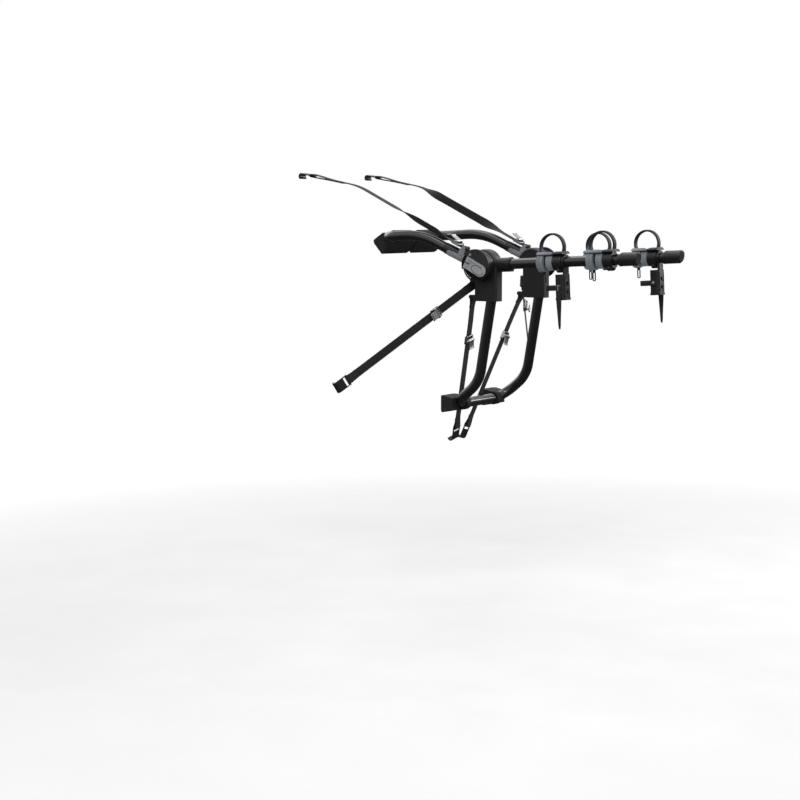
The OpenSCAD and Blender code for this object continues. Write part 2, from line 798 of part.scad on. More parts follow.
module buckle_frame() {
  under = -strap_t / 2 - 0.3;
  translate([-buckle_w / 2, -13, under - buckle_wall]) cube([buckle_w, 26, buckle_wall]);
  for (x = [-1, 1]) translate([x * (buckle_w - buckle_wall) / 2 - buckle_wall / 2, 0, 0])
    across(0, buckle_wall) {
      translate([0, cam_pin_z]) circle(cam_pin_r + 3);
      translate([-9, under - buckle_wall]) square([18, cam_pin_z + 1]);
    }
  rotate([0, 90, 0]) translate([-cam_pin_z, 0, 0]) cylinder(r = cam_pin_r, h = buckle_w, center = true);
  // Bar that the webbing passes under
  translate([0, -11, strap_t / 2 + 0.3 + 1.5]) rotate([0, 90, 0]) cylinder(r = 1.5, h = buckle_w, center = true);
  for (x = [-1, 1]) translate([x * (buckle_w - buckle_wall) / 2 - buckle_wall / 2, -13, under - buckle_wall])
    cube([buckle_wall, 6, strap_t + 6]);
}

module cam_lever() {
  w = strap_w - 1;
  difference() {
    union() {
      translate([0, 0, cam_pin_z]) rotate([0, 90, 0]) cylinder(r = cam_drum_r, h = w, center = true);
      translate([0, 0, cam_pin_z]) rotate([10, 0, 0]) across(0.5 - w / 2, w / 2 - 0.5) polygon([
        [1.2, cam_drum_r - 0.9], [1.2, cam_drum_r - 2.9], [20, cam_drum_r - 3.8], [27, cam_drum_r - 1.6],
        [26, cam_drum_r + 0.8], [20, cam_drum_r - 1.4]
      ]);
    }
    translate([0, 0, cam_pin_z]) rotate([0, 90, 0]) cylinder(r = cam_pin_r + fit, h = w + 2, center = true);
  }
}

module at_buckle(r) {
  framed(r[0] + run_dir(r) * r[3], run_dir(r), run_width(r)) children();
}

module buckles(r) {
  color("#b4b7ba") for (side = [-1, 1]) sided(side) at_buckle(r) buckle_frame();
}

module cam(side, r) {
  color("#c2c5c8") sided(side) at_buckle(r) cam_lever();
}

// Coated hook that grips a panel's edge, in the strap's frame at its end
module edge_hook() {
  half = strap_w / 2 + 1;
  arm_w = 3;
  plate = [12, 34];
  curl = 8;
  rotate([0, 90, 0]) cylinder(r = hook_bar_r, h = 2 * (half + arm_w), center = true);
  for (x = [-half - arm_w, half]) translate([x, 0, -1.75]) cube([arm_w, plate[0] + 2, 3.5]);
  across(-half - arm_w, half + arm_w) {
    translate([plate[0], -1.75]) square([plate[1] - plate[0], 3.5]);
    translate([plate[1], -curl]) arc_ring(curl + 1.75, curl - 1.75, -70, 90);
  }
}

module hooks(p, d, w) {
  color("#161617") for (side = [-1, 1]) sided(side) framed(p, d, w) edge_hook();
}

place() hub_body(-1);  // hub_body_left
place() hub_body(1);  // hub_body_right
place() hub_cover(-1);  // hub_cover_left
place() hub_cover(1);  // hub_cover_right
place() hub_axles();
place() lever_pins();
place() hub_lever(-1);  // hub_lever_left
place() hub_lever(1);  // hub_lever_right
place() knuckle(-1);  // knuckle_left
place() knuckle(1);  // knuckle_right
place() connector(-1);  // connector_left
place() connector(1);  // connector_right
place() upper_tube();
place() upper_foot(-1);  // upper_foot_left
place() upper_foot(1);  // upper_foot_right
place() lower_tube();
place() lower_foot(-1);  // lower_foot_left
place() lower_foot(1);  // lower_foot_right
place() arm_tube(-1);  // arm_tube_left
place() arm_tube(1);  // arm_tube_right
place() arm_pins();
place() end_cap(-1);  // end_cap_left
place() end_cap(1);  // end_cap_right
place() cradle_clamp(-1, inner_cradle);  // cradle_clamp_left_inner
place() cradle_clamp(-1, outer_cradle);  // cradle_clamp_left_outer
place() cradle_clamp(1, inner_cradle);  // cradle_clamp_right_inner
place() cradle_clamp(1, outer_cradle);  // cradle_clamp_right_outer
place() cradle_pad(-1, inner_cradle);  // cradle_pad_left_inner
place() cradle_pad(-1, outer_cradle);  // cradle_pad_left_outer
place() cradle_pad(1, inner_cradle);  // cradle_pad_right_inner
place() cradle_pad(1, outer_cradle);  // cradle_pad_right_outer
place() cradle_strap(-1, inner_cradle);  // cradle_strap_left_inner
place() cradle_strap(-1, outer_cradle);  // cradle_strap_left_outer
place() cradle_strap(1, inner_cradle);  // cradle_strap_right_inner
place() cradle_strap(1, outer_cradle);  // cradle_strap_right_outer
place() sway_cage(-1, inner_cradle);  // sway_cage_left
place() sway_cage(1, outer_cradle);  // sway_cage_right
place() sway_strap(-1, inner_cradle);  // sway_strap_left
place() sway_strap(1, outer_cradle);  // sway_strap_right
place() top_strap(-1);  // top_strap_left
place() top_strap(1);  // top_strap_right
place() side_strap(-1);  // side_strap_left
place() side_strap(1);  // side_strap_right
place() bottom_strap(-1);  // bottom_strap_left
place() bottom_strap(1);  // bottom_strap_right
place() buckles(top_run);  // top_buckles
place() buckles(side_run);  // side_buckles
place() buckles(bottom_run);  // bottom_buckles
place() cam(-1, top_run);  // top_cam_left
place() cam(1, top_run);  // top_cam_right
place() cam(-1, side_run);  // side_cam_left
place() cam(1, side_run);  // side_cam_right
place() cam(-1, bottom_run);  // bottom_cam_left
place() cam(1, bottom_run);  // bottom_cam_right
place() hooks(top_stop, unit(top_stop - top_turn), [1, 0, 0]);  // top_hooks
place() hooks(side_end, run_dir(side_run), run_width(side_run));  // side_hooks
place() hooks(bottom_end, run_dir(bottom_run), run_width(bottom_run));  // bottom_hooks
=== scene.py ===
import json
import math

import bmesh
import bpy
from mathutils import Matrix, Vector

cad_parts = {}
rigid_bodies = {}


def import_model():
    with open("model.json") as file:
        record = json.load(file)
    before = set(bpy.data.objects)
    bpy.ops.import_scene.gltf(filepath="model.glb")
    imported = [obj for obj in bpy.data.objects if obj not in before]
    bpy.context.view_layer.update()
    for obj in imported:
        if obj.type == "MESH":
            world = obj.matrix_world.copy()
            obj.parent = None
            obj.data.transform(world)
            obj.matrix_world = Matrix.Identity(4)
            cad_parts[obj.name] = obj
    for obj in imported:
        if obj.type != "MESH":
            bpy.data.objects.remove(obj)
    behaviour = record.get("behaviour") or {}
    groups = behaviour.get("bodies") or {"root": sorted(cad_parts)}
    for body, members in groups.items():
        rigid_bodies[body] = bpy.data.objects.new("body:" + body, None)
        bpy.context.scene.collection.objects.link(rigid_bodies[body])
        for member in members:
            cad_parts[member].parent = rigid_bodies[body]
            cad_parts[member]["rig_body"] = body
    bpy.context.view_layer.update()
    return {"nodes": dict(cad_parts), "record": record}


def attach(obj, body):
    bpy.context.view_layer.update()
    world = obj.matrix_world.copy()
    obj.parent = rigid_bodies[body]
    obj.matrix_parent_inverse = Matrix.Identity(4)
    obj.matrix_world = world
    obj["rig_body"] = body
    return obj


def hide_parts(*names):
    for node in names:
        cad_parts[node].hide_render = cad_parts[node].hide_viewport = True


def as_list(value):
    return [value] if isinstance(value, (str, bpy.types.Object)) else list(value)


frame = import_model()
NODES = frame["nodes"]
SLOT_OF = {s["node"]: s["material_slot"] for s in frame["record"]["subparts"]}
BODY_OF = {n: o["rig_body"] for n, o in NODES.items()}
SIGN = {"left": -1, "right": 1}
MM = 0.001
X, Y, Z = Vector((1, 0, 0)), Vector((0, 1, 0)), Vector((0, 0, 1))

# Sizes shared with the solids, in millimetres from the hub axis. Angles are in degrees but for ARM_TILT.
# INNER and OUTER are the cradles' places behind that axis.
HUB = Vector((0, -157.09058, 415.21514))
ARM_X, ARM_TILT = 135.0, math.radians(3.0)
KNUCKLE_X, KNUCKLE_T = 171.5, 34.0
COVER_FACE, COVER_R = 193.0, 47.0
LEVER_FACE, LEVER_ANGLE, LEVER_DROP, LEVER_TIP = 203.0, 27.0, 4.0, -42.0
UPPER_ANGLE, NECK_END, CONNECTOR_LEN, SLEEVE_R = 23.0, 44.0, 84.0, 16.8
STRAP_W, STRAP_T = 25.0, 2.0
INNER, OUTER = 225.0, 385.0
SADDLE_TOP, LOOP_R, LOOP_T, LOOP_Z, HOOP_R, CLAMP_R = 30.0, 35.0, 5.0, 42.0, 26.5, 23.5
ARM_AX = Vector((0, -math.cos(ARM_TILT), math.sin(ARM_TILT)))
ARM_UP = Vector((0, math.sin(ARM_TILT), math.cos(ARM_TILT)))


def heading(degrees):
    """Direction in the side view: 0 points forward and 90 points up."""
    a = math.radians(degrees)
    return Vector((0, math.cos(a), math.sin(a)))


UPPER_AX, UPPER_UP = heading(UPPER_ANGLE), heading(UPPER_ANGLE + 90)


def pt(v):
    """Point about the hub axis in millimetres to the part's frame in metres."""
    return (Vector(v) + HUB) * MM


def flip(v, side):
    """Mirrors a vector of the right side to the left one, where side is -1."""
    return Vector((v[0] * side, v[1], v[2]))


def on_arm(x, at, z, side):
    """Point in an arm's frame: x across, at behind the hub axis, z above the arm's axis."""
    t, y = ARM_TILT, -at
    p = Vector((ARM_X + x, y * math.cos(t) + z * math.sin(t), -y * math.sin(t) + z * math.cos(t)))
    return pt(flip(p, side))


def about(at, side):
    """Function for points about a place on an arm: x across, y forward, z above the arm's axis."""
    return lambda x, y, z: on_arm(x, at - y, z, side)


def on_hub(x, side, degrees=0.0, r=0.0):
    """Point x out from the middle of the part and r from the hub axis."""
    return pt((x * side, 0, 0)) + heading(degrees) * r * MM


def square_to(v, d):
    """The part of v that is square to d, with length 1."""
    return (v - d * v.dot(d)).normalized()


def facing(a, b, out):
    """The pair a, b, with a turned round if a x b doesn't point out."""
    return (a, b) if a.cross(b).dot(out) > 0 else (-a, b)


def ease(t):
    """Smooth step from 0 to 1."""
    t = max(0.0, min(1.0, t))
    return t * t * (3 - 2 * t)


def new_node(tree, kind, inputs):
    """New shader node with numbers or links on its sockets."""
    k = tree.nodes.new("ShaderNode" + kind)
    for socket, value in inputs.items():
        if isinstance(value, bpy.types.NodeSocket):
            tree.links.new(value, k.inputs[socket])
        else:
            k.inputs[socket].default_value = value
    return k


def new_object(name, data):
    """New object in the scene."""
    ob = bpy.data.objects.new(name, data)
    bpy.context.scene.collection.objects.link(ob)
    return ob


# Materials


class Mat:
    """Builder for a procedural material."""

    def __init__(self, name, rough, metallic=0.0, coat=0.0, sheen=0.0, ior=1.5, coords="Object"):
        self.m = bpy.data.materials.new(name)
        self.m.use_nodes = True
        self.t = self.m.node_tree
        self.n = self.t.nodes
        self.p = self.n["Principled BSDF"]
        values = {"Metallic": metallic, "Roughness": rough, "IOR": ior, "Coat Weight": coat,
                  "Coat Roughness": 0.12, "Sheen Weight": sheen, "Sheen Roughness": 0.5}
        for socket, value in values.items():
            self.p.inputs[socket].default_value = value
        self.co = self.node("TexCoord", {}).outputs[coords]
        self.normal = None

    def node(self, kind, inputs):
        return new_node(self.t, kind, inputs)

    def scaled(self, *scale):
        return self.node("Mapping", {"Scale": scale, "Vector": self.co}).outputs["Vector"]

    def noise(self, scale, detail=3.0, rough=0.5, vec=None):
        inputs = {"Scale": scale, "Detail": detail, "Roughness": rough, "Vector": vec or self.co}
        return self.node("TexNoise", inputs).outputs["Fac"]

    def voronoi(self, scale):
        return self.node("TexVoronoi", {"Scale": scale, "Vector": self.co}).outputs["Distance"]

    def math(self, op, a, b=0.0):
        k = self.node("Math", {0: a, 1: b})
        k.operation = op
        return k.outputs[0]

    def times(self, a, b):
        return self.math("MULTIPLY", a, b)

    def mix(self, a, b, share):
        """share of a and the rest of b."""
        return self.math("ADD", self.times(a, share), self.times(b, 1 - share))

    def spread(self, fac, lo, hi, flo=0.3, fhi=0.7):
        """Maps fac from flo..fhi to lo..hi."""
        inputs = {"From Min": flo, "From Max": fhi, "To Min": lo, "To Max": hi, "Value": fac}
        return self.node("MapRange", inputs).outputs["Result"]

    def ramp(self, fac, color, stops):
        """Colour ramp whose stops are (place, strength of the colour)."""
        r = self.node("ValToRGB", {"Fac": fac})
        e = r.color_ramp.elements
        while len(e) < len(stops):
            e.new(0.5)
        for k, (place, strength) in zip(e, stops):
            k.position = place
            k.color = (*(Vector(color) * strength), 1)
        return r.outputs["Color"]

    def color(self, socket):
        self.t.links.new(socket, self.p.inputs["Base Color"])

    def roughness(self, socket):
        self.t.links.new(socket, self.p.inputs["Roughness"])

    def bump(self, fac, strength, distance):
        """Adds a layer of relief over the layers already there."""
        inputs = {"Strength": strength, "Distance": distance, "Height": fac}
        if self.normal is not None:
            inputs["Normal"] = self.normal
        self.normal = self.node("Bump", inputs).outputs["Normal"]
        self.t.links.new(self.normal, self.p.inputs["Normal"])

    def cloudy(self, color):
        """Colour with slow variation."""
        slow = self.noise(scale=14, detail=4, rough=0.55)
        self.color(self.ramp(slow, color, [(0.3, 0.82), (0.55, 1.0), (0.75, 1.22)]))


def moulded(name, color, rough, grain=0.10, size=1900, spread=0.09, coat=0.0, ior=1.42):
    """Moulded plastic with a fine spark-eroded grain and faint handling marks."""
    m = Mat(name, rough, coat=coat, ior=ior)
    m.cloudy(color)
    smear = m.noise(scale=55, detail=5, rough=0.6, vec=m.scaled(1.0, 0.35, 1.0))
    m.roughness(m.spread(smear, rough - spread, rough + spread))
    m.bump(m.voronoi(size), strength=grain, distance=0.00012)
    m.bump(m.noise(scale=420, detail=2), strength=grain * 0.5, distance=0.00008)
    return m.m


def paint(name, color):
    """Gloss paint on steel tube: orange peel and fine dust."""
    m = Mat(name, 0.2, coat=0.5)
    m.cloudy(color)
    dust = m.noise(scale=38, detail=6, rough=0.65)
    m.roughness(m.spread(dust, 0.15, 0.31))
    m.bump(m.noise(scale=330, detail=2), strength=0.05, distance=0.0002)
    m.bump(m.noise(scale=2600, detail=1), strength=0.03, distance=0.00005)
    return m.m


def rubber(name, color, rough, grain=0.2):
    """Matt rubber with a fine grain and a pale bloom in its gloss."""
    m = Mat(name, rough, ior=1.4)
    m.cloudy(color)
    bloom = m.noise(scale=30, detail=6, rough=0.7)
    m.roughness(m.spread(bloom, rough - 0.1, min(1.0, rough + 0.12)))
    m.bump(m.noise(scale=1500, detail=3, rough=0.6), strength=grain, distance=0.00016)
    m.bump(m.voronoi(700), strength=grain * 0.35, distance=0.0001)
    return m.m


def metal(name, color, rough):
    """Plated steel with fine drawn lines."""
    m = Mat(name, rough, metallic=1.0)
    lines = m.noise(scale=1.0, detail=4, rough=0.6, vec=m.scaled(30, 900, 900))
    m.color(m.ramp(lines, color, [(0.25, 0.86), (0.7, 1.06)]))
    m.roughness(m.spread(lines, rough - 0.07, rough + 0.1))
    m.bump(lines, strength=0.06, distance=0.00006)
    m.bump(m.noise(scale=60, detail=3), strength=0.03, distance=0.0002)
    return m.m


def woven(name, color, across=22.0, along=0.0021):
    """Flat webbing from its own UV map: u from 0 to 1 across the width, v in metres along it.
    across counts the ribs, and along is the length of one weft."""
    m = Mat(name, 0.72, sheen=0.1, ior=1.32, coords="UV")
    sep = m.node("SeparateXYZ", {0: m.co})
    u, v = sep.outputs[0], sep.outputs[1]
    ribs = m.math("SINE", m.times(u, 2 * math.pi * across))
    weft = m.math("SINE", m.math("ADD", m.times(v, 2 * math.pi / along), m.times(ribs, 1.35)))
    rib_height = m.times(m.math("ADD", ribs, 1.0), 0.5)
    weft_height = m.times(m.math("ADD", weft, 1.0), 0.5)
    height = m.mix(rib_height, weft_height, 0.55)
    obj = m.node("TexCoord", {}).outputs["Object"]
    fuzz = m.noise(scale=260, detail=5, rough=0.7, vec=obj)
    wear = m.noise(scale=22, detail=4, rough=0.6, vec=obj)
    # The colour follows the weave's relief, darker in its hollows and lighter on its ribs: painted shade
    # and painted highlight, mixed with fibre fuzz and slow random tone.
    shade = m.mix(m.mix(height, fuzz, 0.6), wear, 0.8)
    m.color(m.ramp(shade, color, [(0.15, 0.45), (0.5, 1.0), (0.8, 1.9)]))
    m.roughness(m.spread(fuzz, 0.62, 0.86))
    m.bump(height, strength=0.55, distance=0.0004)
    m.bump(fuzz, strength=0.2, distance=0.0002)
    return m.m


BLACK = (0.0095, 0.0095, 0.0102)
MAT = {
    "tube_black": paint("tube_black_paint", (0.007, 0.007, 0.008)),
    "housing_black": moulded("housing_black_moulding", BLACK, 0.38),
    "cover_grey": moulded("cover_grey_moulding", (0.016, 0.0163, 0.0172), 0.46),
    "lever_grey": moulded("lever_grey_moulding", (0.275, 0.285, 0.3), 0.42, grain=0.12, size=1500),
    "connector_grey": moulded("connector_grey_moulding", (0.19, 0.196, 0.21), 0.45, grain=0.12, size=1500),
    "bright_steel": metal("bright_steel_plate", (0.47, 0.478, 0.488), 0.3),
    "dark_steel": metal("dark_steel_plate", (0.09, 0.09, 0.095), 0.34),
    "foot_rubber": rubber("foot_rubber_black", BLACK, 0.7),
    "clamp_black": moulded("clamp_black_moulding", BLACK, 0.38),
    "pad_rubber": rubber("pad_rubber_grey", (0.178, 0.2, 0.225), 0.6),
    "strap_rubber": rubber("strap_rubber_black", BLACK, 0.55),
    "webbing": woven("webbing_black", (0.0105, 0.0105, 0.0113)),
    "hook_coat": moulded("hook_dipped_coat", (0.011, 0.011, 0.012), 0.3, grain=0.05, size=600, spread=0.08,
                         coat=0.25),
    "thread": rubber("thread_dark", (0.03, 0.03, 0.032), 0.6, grain=0.35),
    # Darkest matte black: painted shade on the hub recess floor and inside the lever's oval, and also the
    # print of the window's ticks and the cover screws' heads.
    "recess": moulded("painted_shade_print_and_screw_black", (0.004, 0.004, 0.0043), 0.7, ior=1.25),
    "window": moulded("window_pale", (0.5, 0.51, 0.52), 0.3, grain=0.03),
}


# Meshes


def add(name, verts, faces, mat, body, slot=None, sharp=32.0, replaces=(), uvs=None):
    """New piece on a body, smooth but for edges over sharp degrees. uvs has a list for each face."""
    me = bpy.data.meshes.new(name)
    me.from_pydata([tuple(v) for v in verts], [], [tuple(f) for f in faces])
    if uvs is not None:
        lay = me.uv_layers.new(name="UVMap")
        for poly in me.polygons:
            for li in poly.loop_indices:
                lay.data[li].uv = uvs[poly.index][li - poly.loop_start]
    bm = bmesh.new()
    bm.from_mesh(me)
    bmesh.ops.recalc_face_normals(bm, faces=bm.faces)
    for f in bm.faces:
        f.smooth = True
    for e in bm.edges:
        e.smooth = len(e.link_faces) == 2 and e.calc_face_angle(0) < math.radians(sharp)
    bm.to_mesh(me)
    bm.free()
    me.materials.append(MAT[mat])
    ob = new_object(name, me)
    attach(ob, body)
    if slot or mat in SLOT_OF.values():
        slot or mat
    if replaces:
        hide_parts(*replaces)
    return ob


def bevel(ob, width, seg):
    """Rounded edges, with the flat faces kept flat in the shading."""
    b = ob.modifiers.new("edge", "BEVEL")
    b.width = width
    b.segments = seg
    b.limit_method = "ANGLE"
    b.angle_limit = math.radians(30)
    b.use_clamp_overlap = True
    b.miter_outer = "MITER_ARC"
    w = ob.modifiers.new("normals", "WEIGHTED_NORMAL")
    w.keep_sharp = False


def soften(node, width, seg=3, parts=None, pick=None, side=0, shape=None):
    """Copy of a rigid solid with rounded edges. pick(face) gives a material's place in parts.
    side keeps only the left (-1) or right (1) one of a node that holds both. shape(point) moves points."""
    weld = 2e-6
    name = node + {0: "", -1: "_left", 1: "_right"}[side] + "_skin"
    me = NODES[node].data.copy()
    me.name = name
    me.materials.clear()
    for k in parts or [SLOT_OF[node]]:
        me.materials.append(MAT[k])
    bm = bmesh.new()
    bm.from_mesh(me)
    bmesh.ops.remove_doubles(bm, verts=bm.verts, dist=weld)
    bmesh.ops.dissolve_degenerate(bm, edges=bm.edges, dist=weld)
    bmesh.ops.dissolve_limit(bm, angle_limit=math.radians(0.6), verts=bm.verts, edges=bm.edges)
    if side:
        wrong = [v for v in bm.verts if v.co.x * side < 0]
        bmesh.ops.delete(bm, geom=wrong, context="VERTS")
    for v in bm.verts if shape else ():
        v.co = shape(v.co)
    bmesh.ops.recalc_face_normals(bm, faces=bm.faces)
    for f in bm.faces:
        f.smooth = True
        f.material_index = pick(f) if pick else 0
    for e in bm.edges:
        e.smooth = True
    bm.to_mesh(me)
    bm.free()
    ob = new_object(name, me)
    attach(ob, BODY_OF[node])
    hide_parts(node)
    bevel(ob, width * MM, seg)
    return ob


def beside(axis):
    """A direction square to the axis."""
    return square_to(Z if abs(axis.z) < 0.9 else X, axis)


def lathe(name, origin, axis, profile, mat, body, steps):
    """Closed turned piece: profile is [(radius, along)] in millimetres from axis to axis."""
    side = beside(axis)
    up = axis.cross(side)
    verts, faces = [], []
    for r, a in profile:
        for i in range(steps):
            t = 2 * math.pi * i / steps
            verts.append(origin + (axis * a + (side * math.cos(t) + up * math.sin(t)) * r) * MM)
    n = len(profile)
    for k in range(n - 1):
        for i in range(steps):
            j = (i + 1) % steps
            faces.append((k * steps + i, k * steps + j, (k + 1) * steps + j, (k + 1) * steps + i))
    faces.append(tuple(range(steps)))
    faces.append(tuple((n - 1) * steps + i for i in range(steps)))
    add(name, verts, faces, mat, body)


def sweep(points, normals, section, closed=False):
    """Sweeps a section [(across, up)] in millimetres along points in metres, with normals as its up.
    section may also be a list with one section for each point.
    Returns verts, faces and per-face uvs (u across the section, v along)."""
    n = len(points)
    sections = section if isinstance(section[0][0], tuple) else [section] * n
    k = len(sections[0])
    verts, faces, uvs = [], [], []
    length = [0.0]
    for i in range(1, n):
        length.append(length[-1] + (points[i] - points[i - 1]).length)
    xs = [x for x, _ in sections[0]]
    lo, wide = min(xs), max(xs) - min(xs)
    us = [(x - lo) / wide for x in xs]
    for i, p in enumerate(points):
        if closed:
            d = (points[(i + 1) % n] - points[i - 1]).normalized()
        else:
            d = (points[min(i + 1, n - 1)] - points[max(i - 1, 0)]).normalized()
        up = square_to(normals[i], d)
        side = d.cross(up)
        verts += [p + (side * a + up * b) * MM for a, b in sections[i]]
    for i in range(n if closed else n - 1):
        i2 = (i + 1) % n
        v0, v1 = length[i], length[i2] if i2 else length[-1] + (points[0] - points[-1]).length
        for j in range(k):
            j2 = (j + 1) % k
            faces.append((i * k + j, i2 * k + j, i2 * k + j2, i * k + j2))
            uvs.append([(us[j], v0), (us[j], v1), (us[j2], v1), (us[j2], v0)])
    if not closed:
        for i in (0, n - 1):
            faces.append(tuple(i * k + j for j in range(k)))
            uvs.append([(u, length[i]) for u in us])
    return verts, faces, uvs


def merge(*parts):
    """Joins the verts and faces of several sweeps."""
    verts, faces = [], []
    for v, f, _ in parts:
        base = len(verts)
        verts += v
        faces += [tuple(i + base for i in face) for face in f]
    return verts, faces


def box(x0, x1, half):
    """Outline of a rectangle."""
    return [(x0, -half), (x1, -half), (x1, half), (x0, half)]


def ridge(half, foot, shoulder, flat, top):
    """Section of a rib: half its width, and half the width flat of its top, from the height foot."""
    return [(-half, foot), (-half, shoulder), (-flat, top), (flat, top), (half, shoulder), (half, foot)]


def polar(r, degrees):
    a = math.radians(degrees)
    return r * math.cos(a), r * math.sin(a)


def stadium(cx, cy, w, h, steps=14):
    """Outline of a slot w wide along x and h high, with round ends along the longer side."""
    r = min(w, h) / 2
    out = []
    for quarter, (sx, sy) in enumerate(((1, 1), (-1, 1), (-1, -1), (1, -1))):
        for i in range(steps + 1):
            x, y = polar(r, 90 * quarter + 90 * i / steps)
            out.append((cx + sx * (w / 2 - r) + x, cy + sy * (h / 2 - r) + y))
    return out


def ellipse(a, b, steps=72):
    turn = [polar(1.0, 360 * i / steps) for i in range(steps)]
    return [(a * x, b * y) for x, y in turn]


def mirrored(outline, side):
    """An outline drawn for the right side, for either side."""
    return outline if side > 0 else [(-x, y) for x, y in reversed(outline)]


def bead(name, centre, axis, r, wide, high, mat, body, arc=(0, 360), start=None):
    """Raised half-round rib on a cylinder of radius r about axis, or over an arc of it from start."""
    a = square_to(start, axis) if start else beside(axis)
    b = axis.cross(a)
    full = arc[1] - arc[0] >= 359.9
    count = max(6, int(96 * (arc[1] - arc[0]) / 360))
    points, normals = [], []
    for i in range(count if full else count + 1):
        x, y = polar(1.0, arc[0] + (arc[1] - arc[0]) * i / count)
        e = a * x + b * y
        points.append(centre + e * r * MM)
        normals.append(e)
    half, flat = wide / 2, wide * 0.3
    section = [(-half, -0.3), (-half, high * 0.45), (-flat, high * 0.9), (0, high), (flat, high * 0.9),
               (half, high * 0.45), (half, -0.3)]
    v, f, _ = sweep(points, normals, section, full)
    return add(name, v, f, mat, body, sharp=50)


def arm_beads(name, side, places, r, wide, high, mat, body="frame", arc=(0, 360), first=0):
    """Beads round an arm at places behind the hub axis. Angles count from its top."""
    return [bead("%s_%d" % (name, i), on_arm(0, at, 0, side), ARM_AX, r, wide, high, mat, body, arc, ARM_UP)
            for i, at in enumerate(places, first)]


def plate(name, centre, ex, ey, outline, high, mat, body, edge):
    """Raised plate from an outline [(x, y)] in millimetres, with a rim chamfered by edge."""
    ez = ex.cross(ey).normalized()
    n = len(outline)
    cx, cy = (sum(p[k] for p in outline) / n for k in (0, 1))
    verts, faces = [], []
    for inset, h in ((0, -0.3), (0, high - edge), (edge, high)):
        for x, y in outline:
            k = max(0, 1 - inset / (math.hypot(x - cx, y - cy) or 1))
            verts.append(centre + (ex * (cx + (x - cx) * k) + ey * (cy + (y - cy) * k) + ez * h) * MM)
    for lay in range(2):
        for i in range(n):
            j = (i + 1) % n
            faces.append((lay * n + i, lay * n + j, (lay + 1) * n + j, (lay + 1) * n + i))
    faces.append(tuple(range(n)))
    faces.append(tuple(2 * n + i for i in range(n)))
    add(name, verts, faces, mat, body, sharp=40)


def outline_rib(name, centre, ex, ey, outline, wide, high, mat, body):
    """Raised rib that follows a closed outline on a flat face."""
    ez = ex.cross(ey).normalized()
    points = [centre + (ex * x + ey * y) * MM for x, y in outline]
    v, f, _ = sweep(points, [ez] * len(points), ridge(wide / 2, -0.2, high * 0.5, wide * 0.3, high), True)
    add(name, v, f, mat, body, sharp=60)


def straight_rib(name, points, up, section, mat, body, sharp=60):
    """Rib along points, with up as its height."""
    v, f, _ = sweep(points, [up] * len(points), section)
    add(name, v, f, mat, body, sharp=sharp)


def screw(name, centre, axis, r, mat, body):
    """Domed screw head with a round socket."""
    profile = [(0.01, -1.0), (r, -1.0), (r, 0.5), (r * 0.93, 1.0), (r * 0.7, 1.35), (r * 0.52, 1.4),
               (r * 0.5, 1.3), (r * 0.5, 0.3), (0.01, 0.25)]
    lathe(name, centre, axis, profile, mat, body, 36)


# Straps

WEB_TOP = [(-12.5, 0.0), (-12.35, 0.55), (-11.9, 0.92), (-11.2, 1.0), (-5.6, 1.03), (0.0, 1.05),
           (5.6, 1.03), (11.2, 1.0), (11.9, 0.92), (12.35, 0.55), (12.5, 0.0)]
WEB_SECTION = WEB_TOP + [(x, -y) for x, y in reversed(WEB_TOP[1:-1])]
BAR_GAP, LAYER_GAP, BEND_EASE, TAIL_STEPS, WRAP_STEPS = 0.3, 0.12, 30.0, 8, 12
STITCH_HALF, STITCH_BOX, STITCH_PITCH, THREAD_R = 9.3, 20.0, 2.7, 0.42


def threads(stitches):
    """Small stitches (start, end, up) in metres, drawn as flattened six-sided capsules."""
    sides, radius = 6, THREAD_R * MM
    stations = ((0.0, 0.35, 0.9), (0.18, 0.9, 0.15), (0.5, 1.0, 0.15), (0.82, 0.9, 0.15), (1.0, 0.35, 0.9))
    verts, faces = [], []
    for a, b, up in stitches:
        d = (b - a).normalized()
        up = square_to(up, d)
        side = d.cross(up)
        base = len(verts)
        for share, thick, sink in stations:
            c = a + d * ((b - a).length * share) - up * (radius * sink)
            for i in range(sides):
                w = 2 * math.pi * i / sides
                verts.append(c + (side * math.cos(w) + up * math.sin(w)) * radius * thick)
        for k in range(base, base + 4 * sides, sides):
            for i in range(sides):
                j = (i + 1) % sides
                faces.append((k + i, k + j, k + sides + j, k + sides + i))
        for k in (base, base + 4 * sides):
            faces.append(tuple(k + i for i in range(sides)))
    return verts, faces


